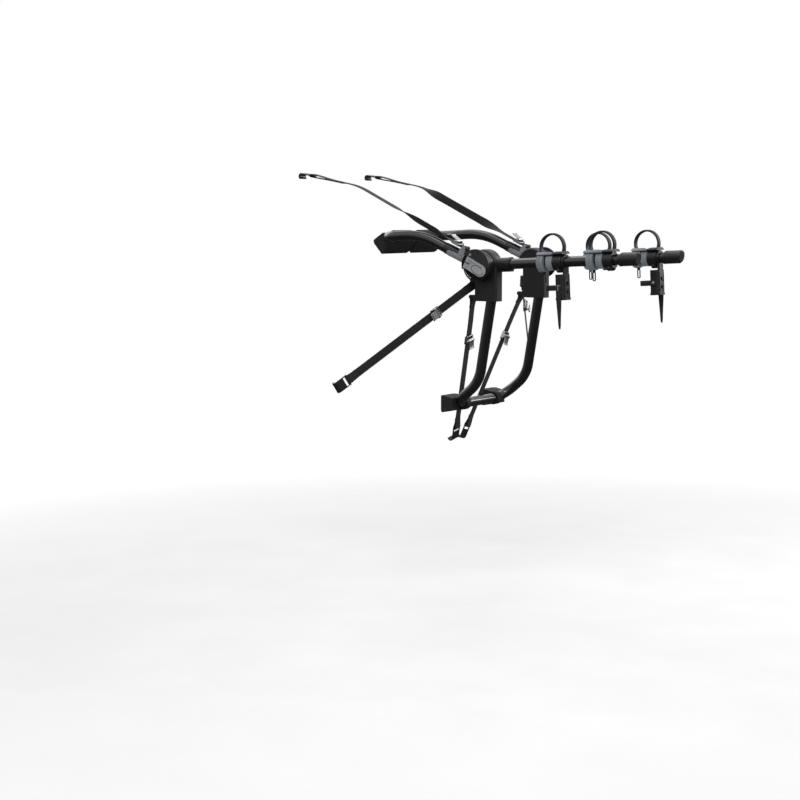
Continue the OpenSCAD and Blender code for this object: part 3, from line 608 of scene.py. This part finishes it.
def strap(name, body, side, start, bends, width_of, bars, replaces, pieces, sewn=(34.0, 34.0),
          blend=(38.0, 38.0)):
    """Webbing from a bar of radius bars[0] at start, by way of bends, to one of radius bars[1].
    Each end wraps its bar and is sewn back on itself over sewn, and its two layers meet after blend.
    width_of(share) gives the width's direction."""
    knots = [Vector(start)] + [Vector(b) for b in bends]
    legs = [(b - a).length for a, b in zip(knots, knots[1:])]
    total = sum(legs)
    radii = [bar + BAR_GAP + STRAP_T / 2 for bar in bars]
    points, normals = [], []

    def at(s):
        """Point and direction at s along the plain line through the knots."""
        for i, leg in enumerate(legs):
            if s <= leg or i == len(legs) - 1:
                d = (knots[i + 1] - knots[i]).normalized()
                return knots[i] + d * s, d
            s -= leg

    def line(s):
        """The same with each bend eased over up to BEND_EASE each way."""
        h = min(BEND_EASE, s, total - s)
        if h < 1.0:
            return at(s)
        p = sum((at(s + k * h / 5)[0] for k in range(-5, 6)), Vector()) / 11
        return p, (at(s + h)[0] - at(s - h)[0]).normalized()

    def frame_at(s):
        """Point, direction, width and face of the webbing at s."""
        p, d = line(s)
        w = square_to(width_of(s / total), d)
        return p, d, w, w.cross(d)

    def lift(end, s):
        """How far the upper layer stands off the line at s because of one end's bar."""
        back = total - s if end else s
        return radii[end] * (1 - ease(back / blend[end]))

    def push(p, n):
        points.append(pt(flip(p, side)))
        normals.append(flip(n, side))

    def tail(end, share):
        """Point of the sewn-back tail, with share from 0 at the bar to 1 at its end."""
        back = 0.5 * (1 - share) + sewn[end] * share
        s = total - back if end else back
        p, _, _, n = frame_at(s)
        apart = STRAP_T + LAYER_GAP
        apart += (2 * radii[end] - apart) * (1 - ease(back / (sewn[end] * 0.75)))
        push(p + n * (lift(end, s) - apart), -n)

    def wrap(end):
        """Half a turn round one end's bar."""
        p, d, _, n = frame_at(end * total)
        for k in range(1, WRAP_STEPS):
            a = math.pi * k / WRAP_STEPS
            e = (n * math.cos(a) + d * math.sin(a)) * (1 if end else -1)
            push(p + e * radii[end], e)

    def upper(end, x, back):
        """Point on the upper layer, x across and back from one end, with its face."""
        s = total - back if end else back
        p, _, w, n = frame_at(s)
        return pt(flip(p + w * x + n * (lift(end, s) + STRAP_T / 2 + 0.05), side)), flip(n, side)

    # Sewn tail, round the first bar, along the strap, round the second bar and back
    for k in range(TAIL_STEPS + 1):
        tail(0, 1 - k / TAIL_STEPS)
    wrap(0)
    body_pts = []
    steps = max(24, int(total / 7))
    for k in range(steps + 1):
        s = total * k / steps
        p, _, _, n = frame_at(s)
        push(p + n * (lift(0, s) + lift(1, s)), n)
        body_pts.append(points[-1])
    wrap(1)
    for k in range(TAIL_STEPS + 1):
        tail(1, k / TAIL_STEPS)
    v, f, u = sweep(points, normals, WEB_SECTION)
    ob = add(name, v, f, "webbing", body, "webbing", 50, replaces, u)
    # Box stitch with a cross on each sewn end
    stitches = []
    for end in (0, 1):
        far = sewn[end] * 0.94
        near = max(sewn[end] * 0.42, far - STITCH_BOX)
        a, b, c, d = (-STITCH_HALF, near), (STITCH_HALF, near), (STITCH_HALF, far), (-STITCH_HALF, far)
        for (xa, sa), (xb, sb) in ((a, b), (b, c), (c, d), (d, a), (a, c), (b, d)):
            count = max(4, int(math.hypot(xb - xa, sb - sa) / STITCH_PITCH))
            for i in range(count):
                (p, n), (q, _) = (upper(end, xa + (xb - xa) * t, sa + (sb - sa) * t)
                                  for t in ((i + 0.1) / count, (i + 0.9) / count))
                stitches.append((p, q, n))
    v, f = threads(stitches)
    add(name + "_stitch", v, f, "thread", body, "webbing", 80)
    length = sum((b - a).length for a, b in zip(body_pts, body_pts[1:]))
    tuple(body_pts[0])
    [tuple(p) for p in body_pts]
    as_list(pieces)


LUG_AT, LUG_H = NECK_END + CONNECTOR_LEN * 0.22, KNUCKLE_T / 2 + 9
TOP_START = Vector((KNUCKLE_X, 0, 0)) + UPPER_AX * LUG_AT + UPPER_UP * LUG_H
TOP_TURN, TOP_STOP = Vector((KNUCKLE_X, 434, 232)), Vector((KNUCKLE_X, 610, 265))
SIDE_START, SIDE_END = Vector((ARM_X, 42, -57)), Vector((500, 230, -320))
BOTTOM_START, BOTTOM_END = Vector((ARM_X, 42, -93)), Vector((30, 170, -500))
# Each strap's line past its buckle: start, end, width, and how far along the buckle sits
RUNS = {
    "top": (TOP_START, TOP_TURN, X, 32.0),
    "side": (SIDE_START, SIDE_END, -Z, 150.0),
    "bottom": (BOTTOM_START, BOTTOM_END, -X, 140.0),
}


def run_frame(key):
    """Place, direction, width and face of a strap at its buckle."""
    a, b, w, along = RUNS[key]
    d = (b - a).normalized()
    w = square_to(w, d)
    return a + d * along, d, w, w.cross(d)


def twisted(angle, turn, back):
    """Width of a top strap that turns its face to the side between its buckle and its bend.
    turn and back give where it turns and turns back, as start and length in shares of that run."""
    first = (TOP_TURN - TOP_START).length
    total = first + (TOP_STOP - TOP_TURN).length
    d = (TOP_TURN - TOP_START).normalized()

    def width(share):
        s = share * total / first
        a = math.radians(angle) * (ease((s - turn[0]) / turn[1]) - ease((s - back[0]) / back[1]))
        return X * math.cos(a) + X.cross(d) * math.sin(a)

    return width


# Rounded copies of the rigid solids

TONGUE_END, TONGUE_TOP, TONGUE_LOW = NECK_END + CONNECTOR_LEN - 27, 3.0, -16.6
CAP_SLANT, LUG_HALF = 0.2, 9.5


def cover_part(f):
    """The raised plate is grey, and the base round the lever is black."""
    return 0 if abs(f.calc_center_median().x) > (COVER_FACE + 0.2) * MM else 1


def connector_part(f):
    """The top of the sleeve is black, like the tube, and its lower side and the lug are grey."""
    c = f.calc_center_median() / MM - HUB
    along, high = c.dot(UPPER_AX), c.dot(UPPER_UP)
    return 1 if along > TONGUE_END or (high > TONGUE_TOP and along > LUG_AT + LUG_HALF) else 0


def slant(p):
    """Shears an end cap along its arm, so that both its ends lean out at the top."""
    return p + ARM_AX * (p - HUB * MM).dot(ARM_UP) * CAP_SLANT


CRADLES = [(nm, key, at) for nm in SIGN for key, at in (("inner", INNER), ("outer", OUTER))]
for nm in SIGN:
    soften("hub_body_" + nm, 1.4)
    soften("hub_cover_" + nm, 0.7, parts=["cover_grey", "housing_black"], pick=cover_part)
    soften("hub_lever_" + nm, 1.1)
    soften("knuckle_" + nm, 0.8)
    soften("connector_" + nm, 0.8, parts=["connector_grey", "housing_black"], pick=connector_part)
    soften("upper_foot_" + nm, 2.6, 4)
    soften("lower_foot_" + nm, 2.6, 4)
    soften("end_cap_" + nm, 1.2, shape=slant)
    soften("sway_cage_" + nm, 1.3)
for nm, key, _ in CRADLES:
    soften("cradle_clamp_%s_%s" % (nm, key), 0.9)
    soften("cradle_pad_%s_%s" % (nm, key), 0.9)
FITTINGS = {}
for key in RUNS:
    for nm, s in SIGN.items():
        cam_skin = soften("%s_cam_%s" % (key, nm), 0.45, 2)
        buckle_skin = soften(key + "_buckles", 0.4, 2, side=s)
        hook_skin = soften(key + "_hooks", 1.1, side=s)
        FITTINGS[key, nm] = [hook_skin, buckle_skin, cam_skin]

for n in ("upper_tube", "lower_tube", "arm_tube_left", "arm_tube_right", "hub_axles", "lever_pins",
          "arm_pins"):
    o = NODES[n]
    if not o.material_slots:
        o.data.materials.append(None)
    for k in range(len(o.material_slots)):
        o.material_slots[k].material = MAT["dark_steel" if n == "arm_pins" else SLOT_OF[n]]


# Hubs: radii of the recess round the lever and of the plate's rib, and the webbing slot's angles

RIM_R, FLOOR_R, SLOT_FLOOR_R, MARK_R, PLATE_RIB_R = 45.9, 44.6, 41.0, 40.3, 42.6
SLOT_FROM, SLOT_TO = 285, 349


def cover_trim(nm, s):
    """Rim and painted-shade floor of the recess, index marks, window, screws and rib of a hub's cover."""
    out = X * s
    # Rim of the recess round the lever, left off where the webbing slot is
    for tag, a0, a1 in (("back", 194.0, 286.0), ("front", 348.5, 400.0)):
        points = [on_hub(COVER_FACE, s, a0 + (a1 - a0) * i / 40, RIM_R) for i in range(41)]
        straight_rib("hub_rim_%s_%s" % (tag, nm), points, out, ridge(0.9, -0.3, 2.1, 0.5, 2.6),
                     "housing_black", "frame", 40)
    # Floor of the recess in the darkest matte black, darker than the moulding round it: painted shade in
    # the recess
    ex, ey = facing(Y, Z, out)
    floor_thick = 0.18
    edge = [polar(SLOT_FLOOR_R if SLOT_FROM < a < SLOT_TO else FLOOR_R, a) for a in range(196, 399, 2)]
    plate("hub_recess_painted_shade_" + nm, on_hub(COVER_FACE, s), ex, ey, mirrored(edge, s), floor_thick, "recess",
          "frame", 0.05)
    # Pale index marks along the recess beside the webbing slot, each a short arc
    marks = ((-67, -56, 2.0), (-53, -43, 2.4), (-40, -31, 2.2), (-28, -21, 1.6))
    for i, (a0, a1, wide) in enumerate(marks):
        arc = [a0 + (a1 - a0) * k / 8 for k in range(9)]
        mark = [polar(MARK_R, a) for a in arc] + [polar(MARK_R - wide, a) for a in reversed(arc)]
        plate("hub_mark_%s_%d" % (nm, i), on_hub(COVER_FACE + floor_thick, s), ex, ey, mirrored(mark, s),
              0.15, "window", "frame", 0.04)
    # Pale window with a plain scale
    window_angle, window_thick = UPPER_ANGLE + 38, 0.6
    centre = on_hub(COVER_FACE + 1.4, s, window_angle, COVER_R - 11)
    ex, ey = facing(heading(window_angle), heading(window_angle + 90), out)
    plate("hub_window_" + nm, centre, ex, ey, stadium(0, 0, 8.4, 10.4), window_thick, "window",
          "frame", 0.2)
    for i in range(5):
        tick = box(-1.2 if i % 2 else -2.6, 2.6, 0.28)
        place = centre + (ey * (i - 2) * 1.9 + out * window_thick) * MM
        plate("hub_tick_%s_%d" % (nm, i), place, ex, ey, tick, 0.12, "recess", "frame", 0.03)
    # Cover screws, one in the raised plate and one in the recess
    for i, (a, r, dx) in enumerate(((108, COVER_R - 9, 2.2), (-79, COVER_R - 8, -1.4))):
        screw("hub_screw_%s_%d" % (nm, i), on_hub(COVER_FACE + dx, s, a, r), out, 2.5, "recess", "frame")
    # Inset rib on the grey plate
    points = [on_hub(COVER_FACE + 5, s, 55 + 124 * i / 40, PLATE_RIB_R) for i in range(41)]
    straight_rib("hub_plate_rib_" + nm, points, out, ridge(0.5, -0.2, 0.3, 0.2, 0.5), "cover_grey", "frame")


def lever_trim(nm, s):
    """Oval with a strip of painted shade inside it, serrations and grip bars of a hub lever."""
    body = "hub_lever_" + nm
    u_ax, w_ax = heading(LEVER_ANGLE), heading(LEVER_ANGLE + 90)
    ex, ey = facing(u_ax, w_ax, X * s)

    def on_lever(x, u, w):
        """Point x out from the middle of the part, u along the lever towards its pin, w across it."""
        p = u_ax * u + w_ax * (w - LEVER_DROP)
        return pt((x * s, p.y, p.z))

    centre = on_lever(LEVER_FACE, -16.5, -2.5)
    # The middle of the three rings is a thin flat strip of the darkest black between two raised ribs:
    # painted shade.
    for name, a, b, wide, high, mat in (("oval", 22.3, 12.8, 1.3, 0.7, "lever_grey"),
                                        ("groove_painted_shade", 21.0, 11.5, 1.3, 0.12, "recess"),
                                        ("inner", 19.6, 10.1, 1.0, 0.45, "lever_grey")):
        outline_rib("lever_%s_%s" % (name, nm), centre, ex, ey, ellipse(a, b), wide, high, mat, body)
    # Serrations along the raised ledge, which is 2 mm high
    for i in range(11):
        c = on_lever(LEVER_FACE + 2, LEVER_TIP + 17 + i * 4.2, 14.0)
        plate("lever_serration_%s_%d" % (nm, i), c, ex, ey, stadium(0, 0, 2.8, 4.4), 0.9,
              "lever_grey", body, 0.8)
    # Grip bars towards the pin
    for i in range(3):
        c = on_lever(LEVER_FACE, 9 + i * 3.0, 4.2)
        plate("lever_grip_%s_%d" % (nm, i), c, ex, ey, stadium(0, 0, 1.4, 9), 0.7, "lever_grey", body, 0.3)


def knuckle_trim(nm, s):
    """Bridges in the knuckle's webbing slot."""
    slot_r, bridge_long = 43.5, 14
    for i, a in enumerate((-58, -43, -28)):
        base = on_hub(KNUCKLE_X, s, a, slot_r) - X * bridge_long / 2 * MM
        plate("knuckle_bridge_%s_%d" % (nm, i), base, heading(a), heading(a + 90), box(-2.6, 2.6, 0.9),
              bridge_long, "housing_black", "upper_frame", 0.3)


def tongue(name, origin, out):
    """Round-ended end of a connector's grey side, laid round its sleeve."""
    rows, cols, lap = 24, 12, 1.5
    half, mid = (TONGUE_TOP - TONGUE_LOW) / 2, (TONGUE_TOP + TONGUE_LOW) / 2
    verts, faces = [], []
    for lift in (0.45, -0.5):
        for i in range(rows + 1):
            a = (half + lap) * i / rows - lap
            reach = math.sqrt(max(0.0, half ** 2 - max(0.0, a) ** 2))
            r = SLEEVE_R - 0.02 * max(0.0, a) + lift
            for j in range(cols + 1):
                w = math.asin(max(-1.0, min(1.0, (mid - reach + 2 * reach * j / cols) / SLEEVE_R)))
                e = out * math.cos(w) + UPPER_UP * math.sin(w)
                verts.append(origin + (UPPER_AX * (TONGUE_END + a) + e * r) * MM)
    row = cols + 1
    n = (rows + 1) * row
    for i in range(rows):
        for j in range(cols):
            q = [i * row + j, (i + 1) * row + j, (i + 1) * row + j + 1, i * row + j + 1]
            faces += [q, [k + n for k in reversed(q)]]
    rim = [i * row for i in range(rows + 1)] + [rows * row + j for j in range(1, row)]
    rim += [i * row + cols for i in range(rows - 1, -1, -1)] + list(range(cols - 1, 0, -1))
    faces += [[b, a, a + n, b + n] for a, b in zip(rim, rim[1:] + rim[:1])]
    add(name, verts, faces, "connector_grey", "upper_frame", sharp=50)


def connector_trim(nm, s):
    """Collar ridges, tongues and side panels of a connector."""
    origin = pt((KNUCKLE_X * s, 0, 0))
    ridge_r, panel_r, panel_at = 16.7, 16.2, NECK_END + 35
    sides = (("out", X * s), ("in", -X * s))
    for i, a in enumerate((3, 6.5, 10)):
        bead("connector_ridge_%s_%d" % (nm, i), origin + UPPER_AX * (NECK_END + a) * MM, UPPER_AX,
             ridge_r, 1.8, 0.5, "connector_grey", "upper_frame")
    for tag, e in sides:
        tongue("connector_tongue_%s_%s" % (nm, tag), origin, e)
    for tag, e in sides:
        centre = origin + UPPER_AX * panel_at * MM + e * panel_r * MM
        plate("connector_panel_%s_%s" % (nm, tag), centre, *facing(UPPER_AX, UPPER_UP, e),
              stadium(0, 0, 34, 9), 0.75, "connector_grey", "upper_frame", 0.4)


CAP_RINGS, CAP_R = (443.5, 447.0), 18.85
for nm, s in SIGN.items():
    cover_trim(nm, s)
    lever_trim(nm, s)
    knuckle_trim(nm, s)
    connector_trim(nm, s)
    for ring in arm_beads("cap_ring_" + nm, s, CAP_RINGS, CAP_R, 1.6, 0.55, "clamp_black"):
        for v in ring.data.vertices:
            v.co = slant(v.co)


# Cradles: the rubber strap, its pull tab, and the clamp screw's place forward and up

LOOP_SECTION = [(-8.0, -1.2), (-7.6, -2.1), (-6.6, -2.5), (0, -2.5), (6.6, -2.5), (7.6, -2.1), (8.0, -1.2),
                (8.0, 1.2), (7.6, 2.0), (6.6, 2.4), (0, 2.4), (-6.6, 2.4), (-7.6, 2.0), (-8.0, 1.2)]
TAB_SECTION = [(-1.2, -1.5), (-1.2, 1.5), (-0.8, 1.95), (0.8, 1.95), (1.2, 1.5), (1.2, -1.5), (0.8, -1.95),
               (-0.8, -1.95)]
TAB_Y, TAB_Z, TAB_HALF, TAB_REACH = 30.0, -44.0, 3.6, 9.0
SCREW_AT = (-24, -22.5)
TAB_STEM = ((-26.4, 4.6), (-28, 4.4), (-30, 4.0), (-32, 3.9), (-34.5, 3.6))


def ribbed(section, rib, half):
    """A section whose upper side is raised by rib within half of its width."""
    return [(x, y + (rib if y > 0 and abs(x) < half else 0)) for x, y in section]


def cradle_trim(nm, key, at):
    """Rubber strap of a cradle, beads of its pad, ribs and fastener of its clamp."""
    s, tag = SIGN[nm], nm + "_" + key
    loc = about(at, s)
    # Rubber strap over the bicycle's tube, with a ladder of ribs outside
    points, normals, sections = [], [], []
    r, steps = LOOP_R + LOOP_T / 2, 150
    a0 = math.degrees(math.asin((SADDLE_TOP + 0.3 - LOOP_Z) / r))
    for i in range(steps + 1):
        share = i / steps
        x, y = polar(1.0, a0 + (180 - 2 * a0) * i / steps)
        points.append(loc(0, r * x, LOOP_Z + r * y))
        normals.append(ARM_UP * y - ARM_AX * x)
        rung = 0.55 if 0.1 < share < 0.9 and (i // 3) % 2 == 0 else 0.0
        grow = 1.0 + 0.12 * (1 - ease(min(share, 1 - share) / 0.06))
        sections.append([(x * grow, y) for x, y in ribbed(LOOP_SECTION, rung, 7)])
    loop = sweep(points, normals, sections)
    # Pull tab under the front hoop, a long ring on a stem
    ring = []
    for i in range(48):
        x, y = polar(TAB_HALF, 360 * i / 48)
        ring.append(loc(0, TAB_Y + x, TAB_Z + (y + (TAB_REACH if y > 0 else -TAB_REACH))))
    tab = sweep(ring, [X] * len(ring), TAB_SECTION, True)
    stem = sweep([loc(0, TAB_Y, z) for z, _ in TAB_STEM], [X] * len(TAB_STEM),
                 [box(-w, w, 1.9) for _, w in TAB_STEM])
    v, f = merge(loop, tab, stem)
    add("cradle_loop_" + tag, v, f, "strap_rubber", "frame", sharp=38, replaces=["cradle_strap_" + tag])
    # Beads on the hoops of the pad, and ribs round the clamp
    arm_beads("pad_bead_" + tag, s, (at - 40.5, at - 30.0, at - 23.5), HOOP_R, 2.2, 0.7, "pad_rubber",
              arc=(48, 312))
    arm_beads("pad_band_" + tag, s, (at - 11.5, at + 5.5), CLAMP_R, 2.0, 0.6, "pad_rubber", arc=(55, 305))
    for first, arc in ((0, (30, 152)), (2, (208, 330))):
        arm_beads("clamp_rib_" + tag, s, (at + 11.0, at + 33.0), CLAMP_R, 2.2, 0.7, "clamp_black",
                  arc=arc, first=first)
    # Screw and nut of the clamp
    screw("clamp_screw_" + tag, loc(15.5, *SCREW_AT) + X * s * -0.2 * MM, X * s, 4.0, "dark_steel", "frame")
    nut = [polar(5.2, 60 * i + 30) for i in range(6)]
    plate("clamp_nut_" + tag, loc(-13.0, *SCREW_AT), *facing(ARM_AX, ARM_UP, -X * s), nut, 3.2,
          "dark_steel", "frame", 0.6)


for nm, key, at in CRADLES:
    cradle_trim(nm, key, at)


# Anti-sway cages: the cage, its strap, the strap's loose tail and its fastenings

CAGE_TOP, CAGE_DROP = 35.0, 108.0
BAND_Z = -CAGE_TOP - 0.52 * (CAGE_DROP - CAGE_TOP)
BAND_IN, BAND_BACK, BAND_FRONT, BAND_Y = 22.3, 22.0, 34.0, -14.0
BAND_MID = BAND_IN + 1.5
TAIL_TOP, TAIL_LONG, TAIL_WIDE, TAIL_TAPER = 7, 124, 16.6, 9.6
BAR_X, STUD_X, CAGE_BACK = 25.4, -25.2, -43.1
BAND_SECTION = [(-7.5, -0.7), (-7.1, -1.3), (-6.2, -1.5), (6.2, -1.5), (7.1, -1.3), (7.5, -0.7), (7.5, 0.7),
                (7.1, 1.2), (6.2, 1.4), (-6.2, 1.4), (-7.1, 1.2), (-7.5, 0.7)]
STUD = [(0.01, -2.8), (2.4, -2.8), (2.4, 0.4), (4.6, 0.5), (4.8, 1.2), (4.2, 2.0), (2.0, 2.5), (0.01, 2.55)]


def sway_trim(nm, at):
    """Strap, steel bar, stud and ribs of an anti-sway cage."""
    s = SIGN[nm]
    body, out = "sway_cage_" + nm, X * s
    pin_y = BAND_Y - BAND_BACK + 8.5
    loc = about(at, s)
    # Band along one side, round the front and back along the other
    points, normals = [], []
    straight = [BAND_Y + (-BAND_BACK + (BAND_BACK + BAND_FRONT - BAND_IN) * i / 8) for i in range(9)]
    for y in straight:
        points.append(loc(-BAND_MID, y, BAND_Z))
        normals.append(-out)
    for i in range(1, 40):
        x, y = polar(1.0, 180 - 180 * i / 40)
        points.append(loc(BAND_MID * x, BAND_Y + BAND_FRONT - BAND_IN + BAND_MID * y, BAND_Z))
        normals.append(out * x - ARM_AX * y)
    for y in reversed(straight):
        points.append(loc(BAND_MID, y, BAND_Z))
        normals.append(out)
    count = len(points)
    rungs = [0.45 if (i // 2) % 2 == 0 and 6 < i < count - 6 else 0.0 for i in range(count)]
    band = sweep(points, normals, [ribbed(BAND_SECTION, rung, 6.5) for rung in rungs])
    # Loose tail, tapered, with a rounded end
    points, sections, steps = [], [], 31
    for i in range(steps + 1):
        z = TAIL_TOP - TAIL_LONG * i / steps
        half = (TAIL_WIDE - TAIL_TAPER * ease((-z - 20) / 97)) / 2
        if i > steps - 3:
            half *= (0.45, 0.75, 0.92)[steps - i]
        points.append(loc(BAND_MID, pin_y + 0.4 * ease(i / steps), BAND_Z + z))
        top = 1.35 + (0.4 if i % 2 == 0 and 5 < i < 27 else 0.0)
        sections.append([(-half, -1.2), (-half + 0.5, -1.5), (half - 0.5, -1.5), (half, -1.2), (half, 1.0),
                         (half - 0.6, top), (-half + 0.6, top), (-half, 1.0)])
    v, f = merge(band, sweep(points, [out] * len(points), sections))
    add("sway_band_" + nm, v, f, "strap_rubber", body, sharp=38, replaces=["sway_strap_" + nm])
    # T-shaped bar that holds the band on the tail's side, and a stud on the other
    centre = loc(BAR_X, pin_y, BAND_Z)
    ex, ey = facing(ARM_AX, ARM_UP, out)
    plate("sway_bar_up_" + nm, centre, ex, ey, stadium(0, -1.5, 3.4, 15), 1.9, "bright_steel", body, 0.6)
    plate("sway_bar_across_" + nm, centre, ex, ey, stadium(0, 6.6, 15, 3.2), 2.2, "bright_steel", body, 0.6)
    lathe("sway_stud_" + nm, loc(STUD_X, pin_y, BAND_Z), -out, STUD, "bright_steel", body, 36)
    # Ribs down the back, and rings round the cage's sleeve
    for i, x in enumerate((-13, 13)):
        points = [loc(x, CAGE_BACK, -z) for z in range(42, 100, 4)]
        straight_rib("sway_rib_%s_%d" % (nm, i), points, ARM_AX, ridge(1.2, -0.5, 0.6, 0.6, 1.0),
                     "clamp_black", body)
    arm_beads("sway_ring_" + nm, s, (at + 38.2, at + 41.4), 21.0, 1.4, 0.5, "clamp_black", body,
              (-120, 120))


sway_trim("left", INNER)
sway_trim("right", OUTER)


# Buckles: height of the cam's axis, lean of its thumb plate, radius of its teeth, place of the rivets

CAM_Z, CAM_LEAN, TOOTH_R, RIVET_X = 8, math.radians(10), 5.55, 15
RIVET = [(0.01, -0.4), (3.0, -0.4), (3.0, 0.3), (2.5, 0.9), (1.4, 1.25), (0.01, 1.35)]


def buckle_trim(key, body, nm, s):
    """Rivets of a buckle, thumb ridges and gripping teeth of its cam lever."""
    p, d, w, n = run_frame(key)
    tag, cam_body = key + "_" + nm, "%s_cam_%s" % (key, nm)

    def loc(x, y, z):
        """Point in the buckle's frame: x across the webbing, y along it, z above it."""
        return pt(flip(p + w * x + d * y + n * z, s))

    along, across, up = flip(d, s), flip(w, s), flip(n, s)
    for i, e in enumerate((-1, 1)):
        lathe("buckle_rivet_%s_%d" % (tag, i), loc(e * RIVET_X, 0, CAM_Z), across * e, RIVET,
              "bright_steel", body, 28)
    cos, sin = math.cos(CAM_LEAN), math.sin(CAM_LEAN)
    for i in range(3):
        y, z = 19.5 + i * 2.2, 4.5 + i * 0.55
        y, z = y * cos - z * sin, y * sin + z * cos
        straight_rib("cam_ridge_%s_%d" % (tag, i), [loc(x, y, CAM_Z + z) for x in range(-9, 10, 3)], up,
                     ridge(0.5, -0.5, 0.25, 0.2, 0.5), "bright_steel", cam_body)
    for i, a in enumerate((-120, -104, -88, -72)):
        y, z = polar(TOOTH_R, a)
        straight_rib("cam_tooth_%s_%d" % (tag, i), [loc(x, y, CAM_Z + z) for x in range(-11, 12, 2)],
                     along * (y / TOOTH_R) + up * (z / TOOTH_R), [(-0.6, -0.4), (0.0, 0.7), (0.6, -0.4)],
                     "bright_steel", cam_body, 30)


for key, body in (("top", "upper_frame"), ("side", "frame"), ("bottom", "frame")):
    for nm, s in SIGN.items():
        buckle_trim(key, body, nm, s)


# The six straps in place. A bottom strap leaves its anchor straight and then turns to its hook.

TWIST = {"left": twisted(55, (0.12, 0.16), (0.42, 0.24)), "right": twisted(90, (0.22, 0.24), (0.78, 0.22))}
LUG_BAR, HOOK_BAR, STRAIGHT_END, TURN_END = 2.5, 3.0, 16, 70
side_wide = run_frame("side")[2]
bottom_way, bottom_wide = run_frame("bottom")[1:3]
bottom_bends = [BOTTOM_START + Vector((0, bottom_way.y, bottom_way.z)).normalized() * STRAIGHT_END,
                BOTTOM_START + bottom_way * TURN_END, BOTTOM_END]
for nm, s in SIGN.items():
    strap("webbing_top_" + nm, "upper_frame", s, TOP_START, [TOP_TURN, TOP_STOP], TWIST[nm],
          (LUG_BAR, HOOK_BAR), ["top_strap_" + nm], FITTINGS["top", nm], sewn=(17.0, 125.0),
          blend=(20.0, 94.0))
    strap("webbing_side_" + nm, "frame", s, SIDE_START, [SIDE_END], lambda t: side_wide,
          (HOOK_BAR, HOOK_BAR), ["side_strap_" + nm], FITTINGS["side", nm])
    strap("webbing_bottom_" + nm, "frame", s, BOTTOM_START, bottom_bends,
          lambda t: (-X).lerp(bottom_wide, ease((t - 0.03) / 0.13)), (HOOK_BAR, HOOK_BAR),
          ["bottom_strap_" + nm], FITTINGS["bottom", nm])


# Floor: a pale disc that fades out towards its edge and doesn't show in reflections

FLOOR_AT, FLOOR_SIZE, FLOOR_SIDES, FADE_SCALE = (0, -0.1, -0.63), 2.6, 64, 0.38
floor_mat = Mat("pale_floor", 0.85)
floor_mat.p.inputs["Specular IOR Level"].default_value = 0.2
floor_mat.color(floor_mat.ramp(floor_mat.noise(scale=3), (1, 1, 1), [(0.3, 0.86), (0.7, 0.9)]))
far = floor_mat.node("TexGradient", {"Vector": floor_mat.scaled(FADE_SCALE, FADE_SCALE, FADE_SCALE)})
far.gradient_type = "SPHERICAL"
clear = floor_mat.node("BsdfTransparent", {})
fade = floor_mat.node("MixShader", {"Fac": floor_mat.spread(far.outputs["Fac"], 0.0, 1.0, 0.0, 0.55),
                                    1: clear.outputs[0], 2: floor_mat.p.outputs[0]})
floor_mat.t.links.new(fade.outputs[0], floor_mat.n["Material Output"].inputs["Surface"])
me = bpy.data.meshes.new("floor")
corners = [polar(FLOOR_SIZE, 360 * i / FLOOR_SIDES) for i in range(FLOOR_SIDES)]
me.from_pydata([(x, y, 0) for x, y in corners], [], [tuple(range(FLOOR_SIDES))])
me.materials.append(floor_mat.m)
floor = new_object("floor", me)
floor.location = FLOOR_AT
floor.visible_glossy = False


# World: the camera sees plain white, and reflections see a room that is white above and dark below

PLAIN_LEVEL = 0.42
world = bpy.data.worlds.new("studio")
bpy.context.scene.world = world
world.use_nodes = True
tree = world.node_tree
path = new_node(tree, "LightPath", {})


def choose(fac, a, b):
    """a where fac is 0 and b where it is 1."""
    return new_node(tree, "Mix", {0: fac, 2: a, 3: b}).outputs[0]


split = new_node(tree, "SeparateXYZ", {0: new_node(tree, "TexCoord", {}).outputs["Generated"]})
room = new_node(tree, "MapRange", {"From Min": -0.3, "From Max": 0.55, "To Min": 0.05, "To Max": 1.0,
                                   "Value": split.outputs[2]})
room.interpolation_type = "SMOOTHSTEP"
level = choose(path.outputs["Is Glossy Ray"], PLAIN_LEVEL, room.outputs[0])
level = choose(path.outputs["Is Transmission Ray"], level, room.outputs[0])
background = tree.nodes["Background"]
tree.links.new(choose(path.outputs["Is Camera Ray"], level, 1.0), background.inputs["Strength"])
background.inputs["Color"].default_value = (1, 1, 1, 1)


# Lamps and camera


def lamp(name, place, target, size, watts):
    """Soft rectangular lamp that looks at a target."""
    light = bpy.data.lights.new(name, "AREA")
    light.shape = "RECTANGLE"
    light.size, light.size_y = size
    light.energy = watts
    ob = new_object(name, light)
    ob.location = place
    ob.rotation_euler = (Vector(target) - Vector(place)).to_track_quat("-Z", "Y").to_euler()


lamp("key", (-2.2, -1.6, 2.6), (0, -0.2, 0.4), (1.8, 1.2), 60)
lamp("top", (0.4, 0.2, 2.8), (0, -0.1, 0.4), (2.4, 2.4), 36)
lamp("rim", (2.4, -1.8, 1.4), (0, -0.2, 0.4), (0.8, 1.8), 32)
lamp("fill", (0.6, 2.6, 1.5), (0, 0, 0.35), (2.2, 1.4), 12)

# The camera that was fitted to the photograph: sensor in millimetres, focal length and image in pixels
CAMERA_AT, SENSOR, FOCAL, IMAGE = (-4.31605, -2.805, 0.5676), 36.0, 1692.2, 800
YAW, PITCH = math.radians(35.255), math.radians(-6.327)
cam = bpy.data.cameras.new("camera")
cam.lens = SENSOR * FOCAL / IMAGE
cam.sensor_width = SENSOR
cam.clip_end = 100
camera = new_object("camera", cam)
look = Vector((math.cos(YAW) * math.cos(PITCH), math.sin(YAW) * math.cos(PITCH), math.sin(PITCH)))
camera.location = CAMERA_AT
camera.rotation_euler = look.to_track_quat("-Z", "Y").to_euler()
bpy.context.scene.camera = camera
bpy.context.scene.view_settings.view_transform = "Standard"
